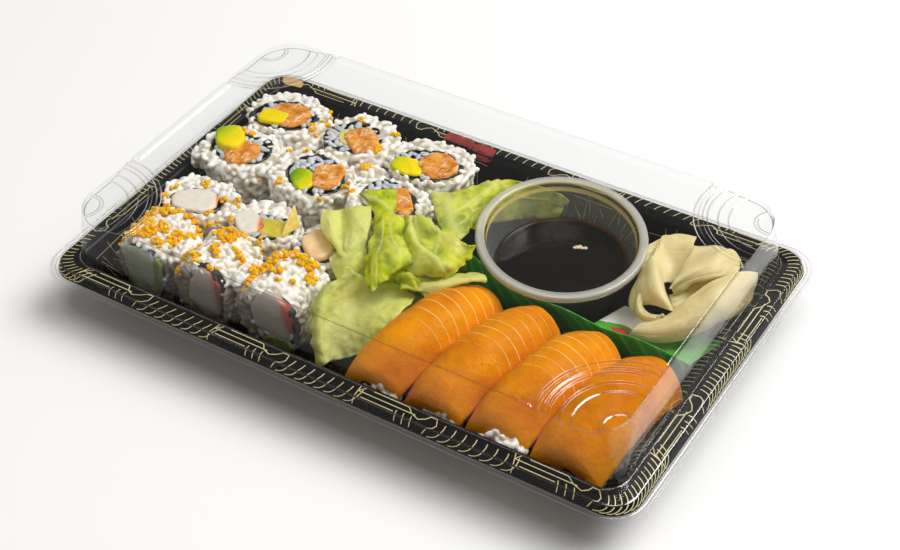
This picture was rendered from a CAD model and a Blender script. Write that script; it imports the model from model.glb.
"""Looks of the takeaway sushi tray: printed tray, clear lid, sauce cup, rolls, nigiri, lettuce and
ginger. Lengths are millimetres in the row frame until a piece is made."""

import math

import bmesh
import bpy
import numpy as np
from mathutils import Matrix, Vector, noise
from mathutils.bvhtree import BVHTree
from mathutils.geometry import delaunay_2d_cdt


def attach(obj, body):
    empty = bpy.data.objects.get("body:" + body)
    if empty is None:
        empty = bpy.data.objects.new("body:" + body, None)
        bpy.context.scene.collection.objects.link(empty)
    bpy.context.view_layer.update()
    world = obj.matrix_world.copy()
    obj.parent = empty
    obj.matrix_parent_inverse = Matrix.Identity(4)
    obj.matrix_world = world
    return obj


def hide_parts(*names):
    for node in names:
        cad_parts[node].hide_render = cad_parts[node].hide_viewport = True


MM = 0.001
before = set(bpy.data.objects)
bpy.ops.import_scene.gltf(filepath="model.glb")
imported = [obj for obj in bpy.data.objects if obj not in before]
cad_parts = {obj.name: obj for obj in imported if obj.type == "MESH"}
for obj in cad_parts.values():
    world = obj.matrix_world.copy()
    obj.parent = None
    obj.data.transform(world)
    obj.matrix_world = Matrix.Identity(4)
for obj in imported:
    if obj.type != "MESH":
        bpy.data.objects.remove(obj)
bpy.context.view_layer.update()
rng = np.random.default_rng(11)


# ---------------------------------------------------------------- nodes and materials


class Look:
    """A material and short ways to add nodes to it."""

    def __init__(self, name):
        self.mat = bpy.data.materials.new(name)
        self.mat.use_nodes = True
        self.tree = self.mat.node_tree
        self.bsdf = self.tree.nodes["Principled BSDF"]
        self.out = self.tree.nodes["Material Output"]

    def node(self, kind, inputs=None, **props):
        made = self.tree.nodes.new("ShaderNode" + kind)
        for key, value in props.items():
            setattr(made, key, value)
        for key, value in (inputs or {}).items():
            self.put(made.inputs[key], value)
        return made

    def put(self, socket, value):
        if isinstance(value, bpy.types.NodeSocket):
            self.tree.links.new(value, socket)
        elif isinstance(value, (tuple, list)) and len(value) == 3 and socket.type == "RGBA":
            socket.default_value = (*value, 1.0)
        else:
            socket.default_value = value

    def set(self, **values):
        names = {
            "base": "Base Color", "rough": "Roughness", "sss": "Subsurface Weight",
            "radius": "Subsurface Radius", "scale": "Subsurface Scale", "spec": "Specular IOR Level",
            "normal": "Normal", "metal": "Metallic",
        }
        for key, value in values.items():
            self.put(self.bsdf.inputs[names[key]], value)

    def coords(self, stretch=(1, 1, 1)):
        place = self.node("TexCoord").outputs["Object"]
        return self.node("Mapping", {"Vector": place, "Scale": stretch}).outputs["Vector"]

    def noise(self, scale, detail=3.0, distort=0.0, vector=None):
        inputs = {"Vector": vector or self.coords(), "Scale": scale, "Detail": detail, "Roughness": 0.55,
                  "Distortion": distort}
        return self.node("TexNoise", inputs).outputs["Fac"]

    def cells(self, scale, stretch=(1, 1, 1)):
        return self.node("TexVoronoi", {"Vector": self.coords(stretch), "Scale": scale}).outputs["Distance"]

    def ramp(self, factor, *stops):
        made = self.node("ValToRGB", {"Fac": factor})
        line = made.color_ramp.elements
        while len(line) < len(stops):
            line.new(0.5)
        for item, (spot, colour) in zip(line, stops):
            item.position = spot
            item.color = (*colour, 1.0) if isinstance(colour, tuple) else (colour, colour, colour, 1.0)
        return made.outputs["Color"]

    def math(self, operation, a, b=0.0, c=0.0):
        made = self.node("Math", operation=operation)
        for socket, value in zip(made.inputs, (a, b, c)):
            self.put(socket, value)
        return made.outputs["Value"]

    def times(self, a, b):
        return self.math("MULTIPLY", a, b)

    def plus(self, a, b):
        return self.math("ADD", a, b)

    def mix(self, factor, a, b):
        made = self.node("Mix", data_type="RGBA")
        self.put(made.inputs[0], factor)
        self.put(made.inputs[6], a)
        self.put(made.inputs[7], b)
        return made.outputs[2]

    def attribute(self, name):
        return self.node("Attribute", attribute_name=name).outputs["Fac"]

    def bump(self, height, distance, strength):
        inputs = {"Height": height, "Distance": distance * MM, "Strength": strength}
        return self.node("Bump", inputs).outputs["Normal"]


def rice_look(name, light, mid, shade):
    """Moist cooked rice, milky: vertex value tone is 0 deep between the grains, dull is 1 in the shade."""
    look = Look(name)
    fine = look.noise(700.0, 2.0)
    tone = look.math("MULTIPLY_ADD", look.noise(220.0, 2.0), 0.5, look.attribute("tone"))
    colour = look.ramp(tone, (0.22, shade), (0.5, mid), (0.9, light))
    colour = look.mix(look.attribute("dull"), colour, (0.21, 0.165, 0.09))
    gloss = look.ramp(fine, (0.35, 0.4 - 0.1), (0.7, 0.4 + 0.15))
    look.set(base=colour, rough=gloss, sss=0.45, radius=(1.0, 0.85, 0.65), scale=0.0012, spec=0.35,
             normal=look.bump(fine, 0.1, 0.5))
    return look.mat


def nori_look():
    look = Look("nori")
    fine = look.noise(1500.0, 3.0)
    look.set(base=look.ramp(fine, (0.3, (0.006, 0.008, 0.006)), (0.8, (0.03, 0.034, 0.022))),
             rough=look.ramp(fine, (0.3, 0.35), (0.7, 0.7)), normal=look.bump(fine, 0.2, 0.8))
    return look.mat


def avocado_look():
    """Green at the skin side, yellow towards the stone; the vertex value says where."""
    look = Look("avocado")
    patch = look.noise(160.0, 2.0)
    tint = look.plus(look.attribute("tint"), look.times(patch, 0.3))
    colour = look.ramp(tint, (0.1, (0.14, 0.32, 0.0)), (0.42, (0.5, 0.6, 0.0)), (0.75, (0.9, 0.7, 0.0)),
                       (1.0, (0.97, 0.73, 0.0)))
    fine = look.noise(700.0, 3.0)
    look.set(base=colour, rough=0.38, sss=0.2, radius=(1.0, 0.8, 0.2), scale=0.0015, spec=0.2,
             normal=look.bump(fine, 0.25, 0.8))
    return look.mat


def fish_fill_look():
    """Salmon cut across: orange flesh with thin pale curls of fat."""
    look = Look("salmon_fill")
    place = look.coords()
    bent = look.node("Mapping", {"Vector": place, "Rotation": (0.0, 0.0, 0.9), "Scale": (1.0, 0.16, 1.0)})
    other = look.node("Mapping", {"Vector": place, "Rotation": (0.0, 0.4, -0.5), "Scale": (0.16, 1.0, 0.5)})
    lines = []
    for way, middle in ((bent, 0.5), (other, 0.53)):
        wave = look.noise(460.0, 1.0, distort=0.4, vector=way.outputs["Vector"])
        lines.append(look.math("ABSOLUTE", look.math("SUBTRACT", wave, middle)))
    line = look.ramp(look.math("MINIMUM", *lines), (0.0, 1.0), (0.008, 0.8), (0.02, 0.0))
    line = look.times(line, look.ramp(look.noise(200.0, 1.0), (0.4, 0.0), (0.55, 1.0)))
    tone = look.ramp(look.noise(300.0, 3.0), (0.34, (0.5, 0.14, 0.004)), (0.5, (0.76, 0.27, 0.02)),
                     (0.66, (0.88, 0.42, 0.09)))
    colour = look.mix(look.times(line, 0.85), tone, (0.95, 0.82, 0.62))
    look.set(base=colour, rough=0.34, sss=0.2, radius=(1.0, 0.4, 0.12), scale=0.0015, spec=0.18,
             normal=look.bump(look.noise(600.0, 3.0), 0.3, 0.8))
    return look.mat


def crab_look(name, flesh, near, skin, outer):
    """Crab stick: cream flesh whose outer skin is red; the vertex value is 1 at the skin."""
    look = Look(name)
    edge = look.ramp(look.attribute("tint"), (0.0, flesh), (0.45, near), (0.75, skin), (1.0, outer))
    look.set(base=edge, rough=0.4, sss=0.3, radius=(1.0, 0.8, 0.6), scale=0.0015,
             normal=look.bump(look.noise(500.0, 3.0), 0.12, 0.5))
    return look.mat


def plain_food_look(name, low, high, rough, scale=220.0, bump=0.15, sss=0.2, radius=(1.0, 0.6, 0.3),
                    spec=0.3):
    look = Look(name)
    look.set(base=look.ramp(look.noise(scale, 3.0), (0.3, low), (0.72, high)), rough=rough, sss=sss,
             spec=spec, radius=radius, scale=0.0015,
             normal=look.bump(look.noise(scale * 4, 3.0), bump, 0.8))
    return look.mat


def salmon_look():
    """Raw salmon laid along the slice: attribute share runs along it and cross across it."""
    look = Look("salmon")
    share, cross = look.attribute("share"), look.attribute("cross")
    bow = look.times(look.times(cross, cross), 0.03)
    wander = look.times(look.noise(40.0, 1.0), 0.05)
    run = look.plus(look.plus(share, bow), wander)
    cycle = look.math("FRACT", look.times(run, 12.5))
    line = look.ramp(cycle, (0.0, 0.0), (0.42, 0.0), (0.49, 1.0), (0.54, 0.0), (1.0, 0.0))
    back = look.ramp(share, (0.32, 0.0), (0.5, 1.0), (0.92, 1.0), (0.98, 0.3))
    patchy = look.ramp(look.noise(90.0, 1.0), (0.34, 0.25), (0.5, 1.0))
    fat = look.times(look.times(line, back), patchy)
    tone = look.ramp(look.noise(55.0, 4.0), (0.3, (0.6, 0.155, 0.0)), (0.5, (0.76, 0.25, 0.0)),
                     (0.72, (0.87, 0.35, 0.0)))
    grain = look.cells(900.0, (1.0, 0.55, 1.0))
    front = look.ramp(share, (0.08, 0.5), (0.3, 1.0), (0.6, 0.7), (0.8, 0.3))
    speck = look.ramp(grain, (0.0, 1.0), (0.26, 0.0))
    patch = look.ramp(look.noise(130.0, 2.0), (0.42, 0.0), (0.62, 1.0))
    speck = look.times(look.times(speck, front), patch)
    colour = look.mix(look.times(speck, 0.5), tone, (0.97, 0.55, 0.1))
    colour = look.mix(look.times(fat, 0.85), colour, (0.96, 0.68, 0.27))
    relief = look.plus(look.noise(450.0, 3.0), look.times(speck, 1.2))
    gloss = look.ramp(look.noise(300.0, 2.0), (0.3, 0.26), (0.7, 0.4))
    look.set(base=colour, rough=gloss, sss=0.25, radius=(1.0, 0.3, 0.02), scale=0.003, spec=0.05,
             normal=look.bump(relief, 0.45, 0.9))
    return look.mat


def leaf_look(name, deep, mid, pale, vein, rough=0.34, glow=0.5):
    """A leaf lit from both sides: attribute rib is 1 on its pale ribs."""
    look = Look(name)
    patch = look.times(look.noise(75.0, 4.0, distort=0.6), 0.6)
    tone = look.ramp(look.plus(patch, look.attribute("lift")), (0.1, deep), (0.5, mid), (0.85, pale))
    tone = look.mix(look.attribute("pale"), tone, vein)
    colour = look.mix(look.times(look.attribute("rib"), 0.8), tone, vein)
    skin = look.plus(look.cells(300.0), look.times(look.noise(700.0, 3.0), 0.6))
    normal = look.bump(skin, 0.3, 0.6)
    look.set(base=colour, rough=rough, spec=0.32, normal=normal)
    through = look.node("BsdfTranslucent", {"Color": colour, "Normal": normal}).outputs[0]
    both = look.node("MixShader", {0: glow, 1: look.bsdf.outputs[0], 2: through})
    look.put(look.out.inputs["Surface"], both.outputs[0])
    return look.mat


def clear_look(name, tint, haze, haze_colour, gloss=0.03, strength=1.0):
    """Thin clear plastic: see-through, with a mirror sheen that grows at a glance and a little haze."""
    look = Look(name)
    look.tree.nodes.remove(look.bsdf)
    wave = look.bump(look.noise(22.0, 2.0), 0.5, 0.2)
    facing = look.node("LayerWeight", {"Blend": 0.5, "Normal": wave}).outputs["Facing"]
    sheen = look.math("MULTIPLY_ADD", look.math("POWER", facing, 4.0), 0.92, 0.025)
    sheen = look.times(sheen, strength)
    see = look.node("BsdfTransparent", {"Color": tint}).outputs[0]
    milk = look.node("BsdfDiffuse", {"Color": haze_colour}).outputs[0]
    body = look.node("MixShader", {0: haze, 1: see, 2: milk}).outputs[0]
    shine = {"Color": (1.0, 1.0, 1.0), "Roughness": gloss, "Normal": wave}
    mirror = look.node("BsdfGlossy", shine).outputs[0]
    both = look.node("MixShader", {0: sheen, 1: body, 2: mirror})
    look.put(look.out.inputs["Surface"], both.outputs[0])
    return look.mat


def black_plastic_look():
    look = Look("black_plastic")
    smear = look.noise(45.0, 4.0)
    look.set(base=(0.006, 0.006, 0.007), rough=look.ramp(smear, (0.35, 0.24), (0.7, 0.36)), spec=0.17,
             normal=look.bump(look.noise(120.0, 2.0), 0.02, 0.4))
    return look.mat


def gold_look():
    look = Look("gold_print")
    look.set(base=look.ramp(look.noise(90.0, 3.0), (0.3, (0.66, 0.56, 0.24)), (0.7, (0.92, 0.84, 0.45))),
             rough=0.35, metal=0.1)
    return look.mat


def print_look(name, low, high, rough=0.45):
    look = Look(name)
    look.set(base=look.ramp(look.noise(120.0, 4.0), (0.3, low), (0.7, high)), rough=rough)
    return look.mat


def soy_look():
    """Almost black sauce, brown where it thins at its edge; vertex value edge is 1 there."""
    look = Look("soy")
    deep = look.ramp(look.noise(30.0, 2.0), (0.3, (0.006, 0.005, 0.004)), (0.7, (0.011, 0.009, 0.007)))
    look.set(base=look.mix(look.attribute("edge"), deep, (0.09, 0.035, 0.012)), rough=0.05, spec=0.16)
    return look.mat


# ---------------------------------------------------------------- meshes


def new_object(name, data):
    item = bpy.data.objects.new(name, data)
    bpy.context.scene.collection.objects.link(item)
    return item


def piece(name, verts, faces, mats, slot, replaces=(), values=None, sharp=None, indices=None):
    """A mesh in millimetres becomes a piece that rides with the tray."""
    mesh = bpy.data.meshes.new(name)
    corners = [tuple(int(i) for i in face) for face in faces]
    mesh.from_pydata([tuple(v) for v in np.asarray(verts) * MM], [], corners)
    for key, data in (values or {}).items():
        mesh.attributes.new(key, "FLOAT", "POINT").data.foreach_set("value", np.asarray(data, np.float32))
    for mat in mats if isinstance(mats, (list, tuple)) else [mats]:
        mesh.materials.append(mat)
    if indices is not None:
        mesh.polygons.foreach_set("material_index", indices)
    bm = bmesh.new()
    bm.from_mesh(mesh)
    bmesh.ops.recalc_face_normals(bm, faces=bm.faces)
    bm.to_mesh(mesh)
    bm.free()
    mesh.shade_smooth()
    if sharp:
        mesh.set_sharp_from_angle(angle=math.radians(sharp))
    item = new_object(name, mesh)
    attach(item, "root")
    if replaces:
        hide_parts(*replaces)
    return item


class Heap:
    """Many small meshes gathered into one."""

    def __init__(self):
        self.verts, self.faces, self.values, self.count, self.indices = [], [], {}, 0, []

    def add(self, verts, faces, index=0, **values):
        verts = np.asarray(verts, float)
        self.verts.append(verts)
        self.faces.extend([tuple(int(i) + self.count for i in face) for face in faces])
        self.indices.extend([index] * len(faces))
        for key, value in values.items():
            data = np.full(len(verts), value) if np.isscalar(value) else np.asarray(value)
            self.values.setdefault(key, []).append(data)
        self.count += len(verts)

    def build(self, name, mats, slot, replaces=(), sharp=None):
        values = {key: np.concatenate(data) for key, data in self.values.items()}
        verts = np.concatenate(self.verts)
        return piece(name, verts, self.faces, mats, slot, replaces, values, sharp, self.indices)

    def tree(self):
        return bvh(np.concatenate(self.verts), self.faces)


def bvh(verts, faces):
    return BVHTree.FromPolygons([tuple(v) for v in verts], faces)


def grid_faces(rows, columns, wrap=False):
    faces = []
    for i in range(rows - 1):
        for j in range(columns if wrap else columns - 1):
            k = (j + 1) % columns
            faces.append((i * columns + j, i * columns + k, (i + 1) * columns + k, (i + 1) * columns + j))
    return faces


def loft(rings, caps=True):
    """Equal closed rings joined into a skin, with its ends closed."""
    rings = np.asarray(rings, float)
    count = rings.shape[1]
    faces = grid_faces(rings.shape[0], count, True)
    if caps:
        faces.append(tuple(reversed(range(count))))
        faces.append(tuple(range((rings.shape[0] - 1) * count, rings.shape[0] * count)))
    return rings.reshape(-1, 3), faces


def rough_noise(points, scale, seed):
    """Smooth noise at each point, from -1 to 1."""
    shift = Vector((seed * 13.7, seed * 5.1, seed * 9.9))
    return np.array([noise.noise(Vector(p) * scale + shift) for p in points])


def grid_noise(grid, scale, seed=0.0):
    return rough_noise(grid.reshape(-1, 3), scale, seed).reshape(grid.shape[:2])


def direction(degrees):
    return math.cos(math.radians(degrees)), math.sin(math.radians(degrees))


def circle(count):
    """Bearings evenly round a circle, in radians."""
    return np.linspace(0, 2 * math.pi, count, endpoint=False)


def curve_through(points, steps):
    """A Catmull-Rom curve through the points."""
    p = np.asarray(points, float)
    ends = np.concatenate([[p[0] * 2 - p[1]], p, [p[-1] * 2 - p[-2]]])
    out = []
    for a, b, c, d in zip(ends, ends[1:], ends[2:], ends[3:]):
        for step in range(steps):
            t = step / steps
            bow, twist = 2 * a - 5 * b + 4 * c - d, 3 * b - a - 3 * c + d
            out.append(0.5 * (2 * b + (c - a) * t + bow * t * t + twist * t ** 3))
    out.append(p[-1])
    return np.array(out)


def surface_through(rows, steps=14):
    lines = np.array([curve_through(row, steps) for row in rows])
    return np.array([curve_through(lines[:, i], steps) for i in range(lines.shape[1])]).transpose(1, 0, 2)


def sheet_normals(grid):
    """Unit normals at the points of a grid."""
    normal = np.cross(np.gradient(grid, axis=0), np.gradient(grid, axis=1))
    return normal / np.maximum(np.linalg.norm(normal, axis=2, keepdims=True), 1e-9)


def raised(grid, lift):
    return grid + sheet_normals(grid) * lift[..., None]


def slab_faces(rows, columns):
    """Faces of a slab whose points are two like grids, one after the other."""
    size, skin = rows * columns, grid_faces(rows, columns)
    rim = list(range(columns)) + [i * columns + columns - 1 for i in range(1, rows)]
    rim += [(rows - 1) * columns + j for j in range(columns - 2, -1, -1)]
    rim += [i * columns for i in range(rows - 2, 0, -1)]
    band = [(b, a, a + size, b + size) for a, b in zip(rim, rim[1:] + rim[:1])]
    return skin + [tuple(i + size for i in reversed(face)) for face in skin] + band


def thick_sheet(grid, thickness):
    """Closed slab on a grid of points, half its thickness to each side."""
    half = np.broadcast_to(np.asarray(thickness, float) / 2, grid.shape[:2])[..., None]
    normal = sheet_normals(grid)
    upper, lower = grid + normal * half, grid - normal * half
    return np.concatenate([upper.reshape(-1, 3), lower.reshape(-1, 3)]), slab_faces(*grid.shape[:2])


def from_edge(rows, columns):
    """How far each point of a sheet lies from its edge, then its row and column, all as shares."""
    u, v = np.meshgrid(np.linspace(0, 1, rows), np.linspace(0, 1, columns), indexing="ij")
    return np.minimum(np.minimum(u, 1 - u), np.minimum(v, 1 - v)), u, v


def sheet_piece(name, node, slot, look, grid, thickness, **values):
    """A slab on a grid as a piece, with its vertex values once for each of its two sides."""
    both = {key: np.tile(np.ravel(data), 2) for key, data in values.items()}
    piece(name, *thick_sheet(grid, thickness), look, slot, [node], both)


# ---------------------------------------------------------------- rounded rectangles of tray and lid

RIM_X, RIM_Y, RIM_R = 120.0, 71.1, 9.2


def loop_point(half_x, half_y, radius, spot):
    """A point on a rounded rectangle: spot runs 0 to 8 through front, corner, right, corner and on."""
    span, f = int(spot) % 8, spot - int(spot)
    cx, cy = half_x - radius, half_y - radius
    if span == 0:
        return -cx + 2 * cx * f, -half_y
    if span == 2:
        return half_x, -cy + 2 * cy * f
    if span == 4:
        return cx - 2 * cx * f, half_y
    if span == 6:
        return -half_x, cy - 2 * cy * f
    sx, sy = {1: (1, -1), 3: (1, 1), 5: (-1, 1), 7: (-1, -1)}[span]
    turn = math.radians({1: -90, 3: 0, 5: 90, 7: 180}[span] + 90 * f)
    return sx * cx + radius * math.cos(turn), sy * cy + radius * math.sin(turn)


SPAN_LENGTHS = [2 * (RIM_X - RIM_R), math.pi / 2 * RIM_R, 2 * (RIM_Y - RIM_R), math.pi / 2 * RIM_R] * 2
PERIMETER = sum(SPAN_LENGTHS)


def spot_at(length):
    """The loop's spot at a length along the rim, from the front's left-hand end."""
    length %= PERIMETER
    for span, reach in enumerate(SPAN_LENGTHS):
        if length <= reach:
            return span + min(length / reach, 0.9999)
        length -= reach
    return 0.0


def loop_spots(straight, corner):
    """Spots round a rounded rectangle, so many to each straight and each corner."""
    spots = []
    for span in range(8):
        steps = corner if span % 2 else straight
        spots += [span + i / steps for i in range(steps)]
    return spots


# ---------------------------------------------------------------- tray and its print


def make_tray(black):
    """Thin formed sheet: raised floor, ring of foot, sloping walls, flat rim strip and outer slope."""
    top = [
        (95.0, 46.0, 5.0, 1.9),
        (96.5, 47.5, 5.5, 1.75),
        (97.8, 48.8, 6.0, 0.8),
        (98.4, 49.4, 6.0, 0.7),
        (103.4, 54.4, 7.0, 0.7),
        (104.4, 55.4, 7.0, 0.95),
        (105.6, 56.6, 7.0, 3.0),
        (108.6, 59.6, 6.6, 10.0),
        (108.9, 60.0, 6.6, 10.7),
        (112.4, 63.4, 6.2, 19.6),
        (113.0, 64.0, 6.0, 21.0),
        (113.5, 64.6, 6.0, 21.75),
        (114.2, 65.3, 6.0, 22.0),
        (119.2, 70.3, 8.6, 22.0),
        (119.9, 71.0, 9.1, 21.75),
        (120.5, 71.6, 9.6, 21.0),
        (121.6, 72.7, 10.8, 18.95),
    ]
    sheet = [(-0.05, 0.05)] + [(-0.6, 0.3)] * 2 + [(-0.45, 0.62)] * 2 + [(0.1, 0.66)] + [(0.5, 0.45)] * 4
    sheet += [(0.6, 0.3)] * 2 + [(0.4, 0.6)] + [(0.0, 0.7)] * 2 + [(-0.5, 0.62)] * 2
    under = [(hx + dx, hy + dx, r, z - dz) for (hx, hy, r, z), (dx, dz) in zip(reversed(top), sheet)]
    spots = loop_spots(10, 14)
    rings = [[(*loop_point(hx, hy, r, spot), z) for spot in spots] for hx, hy, r, z in top + under]
    verts, faces = loft(rings, caps=False)
    count = len(spots)
    faces.append(tuple(range(count)))
    faces.append(tuple(range(len(verts) - count, len(verts))))
    piece("tray_shell", verts, faces, black, "black_tray", ["tray"], sharp=40)


STRIP = [  # distance across the rim, out from its inner fold, with the section there
    (-21.5, (105.4, 56.4, 7.0, 2.6)),
    (-14.5, (108.5, 59.5, 6.6, 9.8)),
    (-1.2, (113.0, 64.0, 6.0, 20.95)),
    (0.0, (113.9, 65.0, 6.0, 21.95)),
    (5.8, (119.5, 70.6, 8.8, 21.98)),
    (6.9, (120.4, 71.5, 9.5, 21.3)),
    (9.6, (121.6, 72.7, 10.8, 19.1)),
]


def rim_point(length, across, lift=0.07):
    """A point on the tray's rim or inner wall, a hair above the sheet."""
    spot = spot_at(length)
    for (a, low), (b, high) in zip(STRIP, STRIP[1:]):
        if across <= b:
            break
    t = (across - a) / (b - a)
    hx, hy, r, z = (u + (v - u) * t for u, v in zip(low, high))
    x, y = loop_point(hx, hy, r, spot)
    slope = (high[3] - low[3]) / (b - a)
    nx, ny = loop_point(hx + 1, hy + 1, r + 1, spot)
    lean = -lift * slope
    return np.array([x + (nx - x) * lean, y + (ny - y) * lean, z + lift * max(0.3, 1 - abs(slope))])


LINE = 0.34


def ribbon(heap, path, width):
    """A flat printed line along a path of (length, across) on the rim."""
    fine = []
    for (s0, t0), (s1, t1) in zip(path, path[1:]):
        steps = max(1, int(math.hypot(s1 - s0, t1 - t0) / 1.1))
        fine += [(s0 + (s1 - s0) * i / steps, t0 + (t1 - t0) * i / steps) for i in range(steps)]
    fine.append(path[-1])
    flat = np.array(fine)
    way = np.gradient(flat, axis=0)
    way /= np.maximum(np.linalg.norm(way, axis=1, keepdims=True), 1e-9)
    side = np.stack([-way[:, 1], way[:, 0]], 1) * width / 2
    left = [rim_point(*p) for p in flat + side]
    right = [rim_point(*p) for p in flat - side]
    n = len(flat)
    heap.add(left + right, [(i, i + 1, n + i + 1, n + i) for i in range(n - 1)])


PRINT_CELLS = 12
PRINT_LINES = [  # lines of one cell of the print: width, then corners as (along, across) the rim
    (LINE, (0.0, 8.9), (0.0, 0.9)),
    (0.3, (0.0, 3.2), (2.2, 1.0)),
    (LINE, (0.0, 3.2), (3.2, 3.2), (23.5, 3.2)),
    (0.3, (5.5, 1.0), (20.0, 1.0)),
    (0.3, (2.0, 6.4), (1.2, 5.4)),
    (LINE, (2.2, 5.5), (15.5, 5.5)),
    (LINE, (16.5, 4.4), (16.8, 8.6)),
    (LINE, (19.5, 4.4), (19.8, 8.6)),
    (LINE, (22.5, 4.4), (22.8, 8.6)),
    (LINE, (20.0, 1.0), (22.0, 3.2), (25.0, 4.4), (27.5, 3.0), (29.0, 1.2), (31.5, 1.2), (32.2, 4.0),
     (31.2, 5.6), (29.2, 6.2), (28.0, 8.8)),
]


def make_print(gold):
    """Line ornament of fans, bars and ticks round the rim, and hairlines down the inner walls."""
    heap = Heap()
    for k in range(PRINT_CELLS):
        s = k * PERIMETER / PRINT_CELLS + 3.0
        short = any(low < (s + 40) % PERIMETER < low + 150 for low in (215.0, 585.0))
        ribs, apart = (15, 2.3) if short else (8, 4.1)
        for width, *corners in PRINT_LINES:
            ribbon(heap, [(s + along, across) for along, across in corners], width)
        for j in range(ribs):
            start = s + 30.0 + apart * j
            turns = np.linspace(0, 1.5, 8)
            ribbon(heap, [(start + 5.4 * math.sin(a), 1.4 + 7.6 * math.cos(a) ** 0.8) for a in turns], LINE)
    for _ in range(260):
        s, t = rng.uniform(0, PERIMETER), rng.uniform(-13.5, -2)
        lean, reach = rng.normal(0, 3.0), rng.uniform(3, 9)
        ribbon(heap, [(s, t), (s + lean, max(t - reach, -20.5))], 0.15)
    for k in range(24):
        s = k * PERIMETER / 24 + rng.uniform(-3, 3)
        t = rng.uniform(-9, -3)
        ribbon(heap, [(s, t), (s + rng.uniform(12, 22), t - rng.uniform(-1.5, 1.5))], 0.2)
    heap.build("rim_print", gold, "gold_print")


def wall_patch(heap, length, across, size, index):
    """A soft-cornered field of colour printed on the inner wall."""
    verts, n = [], 9
    for i, j in np.ndindex(n, n):
        u, v = i / (n - 1) * 2 - 1, j / (n - 1) * 2 - 1
        bend = 1 + 0.12 * noise.noise(Vector((u * 2, v * 2, length)))
        verts.append(rim_point(length + u * size[0] * bend * math.sqrt(1 - v * v / 3),
                               across + v * size[1] * bend * math.sqrt(1 - u * u / 3), 0.1))
    heap.add(verts, grid_faces(n, n), index)


# ---------------------------------------------------------------- lid

LID_X, LID_Y, LID_R = 111.8, 65.0, 14.0
LUG_X, LUG_Y = 110.4, 57.0
LUG_EDGE = 29.6
FADE_FROM, FADE_OVER = 28.2, 1.6
FOLD_REACH = 0.31
LUG_STEPS = [  # radius, height outside it: flat terraces joined by short steep risers
    (0.0, 43.3), (5.4, 43.6), (6.6, 43.35), (15.7, 43.75), (19.4, 44.4), (23.2, 45.0), (24.8, 45.5),
    (26.4, 44.5), (28.0, 45.3),
]
LUG_PROFILE = [(0.0, LUG_STEPS[0][1])]
for (_, below), (ring, above) in zip(LUG_STEPS, LUG_STEPS[1:]):
    LUG_PROFILE += [(ring + away, below + (above - below) * share)
                    for away, share in ((-0.4, 0.0), (-0.2, 0.18), (0.0, 0.5), (0.2, 0.82), (0.4, 1.0))]
LUG_PROFILE.append((LUG_EDGE, 45.3))


def bead_height(inset):
    """Height across the raised bead, by distance in from the lid's outline."""
    steps = [(0.0, 45.9), (0.4, 46.3), (0.9, 46.4), (2.6, 46.4), (3.0, 46.25), (3.5, 45.5), (3.9, 45.3)]
    return float(np.interp(inset, *zip(*steps)))


def outline_inset(x, y):
    """How far a point lies inside the lid's top outline."""
    ax, ay = abs(x) - (LID_X - LID_R), abs(y) - (LID_Y - LID_R)
    outside = math.hypot(max(ax, 0), max(ay, 0))
    return LID_R - (outside if outside > 0 else max(ax, ay))


def lug_distance(x, y):
    """How far a point is from the middle of the lug in its corner."""
    return math.hypot(abs(x) - LUG_X, abs(y) - LUG_Y)


def lid_height(x, y):
    """Height of the lid's top: the lug's terraces near a corner, the bead and the flat elsewhere."""
    away = lug_distance(x, y)
    lug = float(np.interp(away, *zip(*LUG_PROFILE)))
    bead = bead_height(outline_inset(x, y))
    blend = min(max((away - FADE_FROM) / FADE_OVER, 0.0), 1.0)
    return lug + (bead - lug) * blend


def on_fold(x, y):
    """Whether a spot of the lid's top lies on one of its sharper bends."""
    away = lug_distance(x, y)
    lug = away < LUG_EDGE and any(abs(away - ring) < FOLD_REACH for ring, _ in LUG_STEPS[1:])
    return lug or outline_inset(x, y) < 0.5


LID_WALL = [  # half sizes, corner radius and height from the top down, and whether the band above is a bend
    (112.1, 65.2, 14.0, 45.3, 0), (112.5, 65.35, 13.6, 43.5, 0), (113.3, 65.7, 12.0, 34.0, 0),
    (114.1, 66.0, 9.6, 25.0, 0), (114.25, 66.05, 8.6, 23.0, 0), (114.6, 66.3, 8.2, 22.55, 1),
    (115.4, 67.1, 8.2, 22.5, 0), (119.7, 70.8, 9.0, 22.5, 0), (120.4, 71.5, 9.4, 22.3, 1),
    (120.9, 72.0, 10.0, 21.6, 0), (122.3, 73.4, 11.6, 19.5, 0), (122.8, 73.8, 12.0, 19.2, 1),
    (124.1, 75.0, 12.8, 19.15, 0), (124.3, 75.2, 13.0, 19.45, 1), (124.9, 75.8, 13.4, 19.4, 0),
    (125.1, 76.0, 13.5, 18.9, 0), (125.1, 76.0, 13.5, 18.6, 0),
]


def lid_lines():
    """Lines that the lid's top is triangulated along: rings inside its outline and round each lug."""
    for inset in (0.0, 0.4, 0.9, 2.6, 3.0, 3.5, 3.9, 4.4, 12.0):
        half_x, half_y, radius = LID_X - inset, LID_Y - inset, LID_R - inset
        yield [loop_point(half_x, half_y, radius, spot) for spot in loop_spots(48, 14)], True
    for radius in [r for r, _ in LUG_PROFILE[1:]] + [10.5, 17.5, 21.3, 30.2, 33.0]:
        whole = radius <= 9
        for sx, sy in ((1, 1), (1, -1), (-1, 1), (-1, -1)):
            line = []
            for i in range(65):
                angle = math.radians(360 * i / 65) if whole else math.radians(150 + 150 * i / 64)
                x, y = LUG_X + radius * math.cos(angle), LUG_Y + radius * math.sin(angle)
                line.append((sx * x, sy * y))
            yield line, whole


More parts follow.
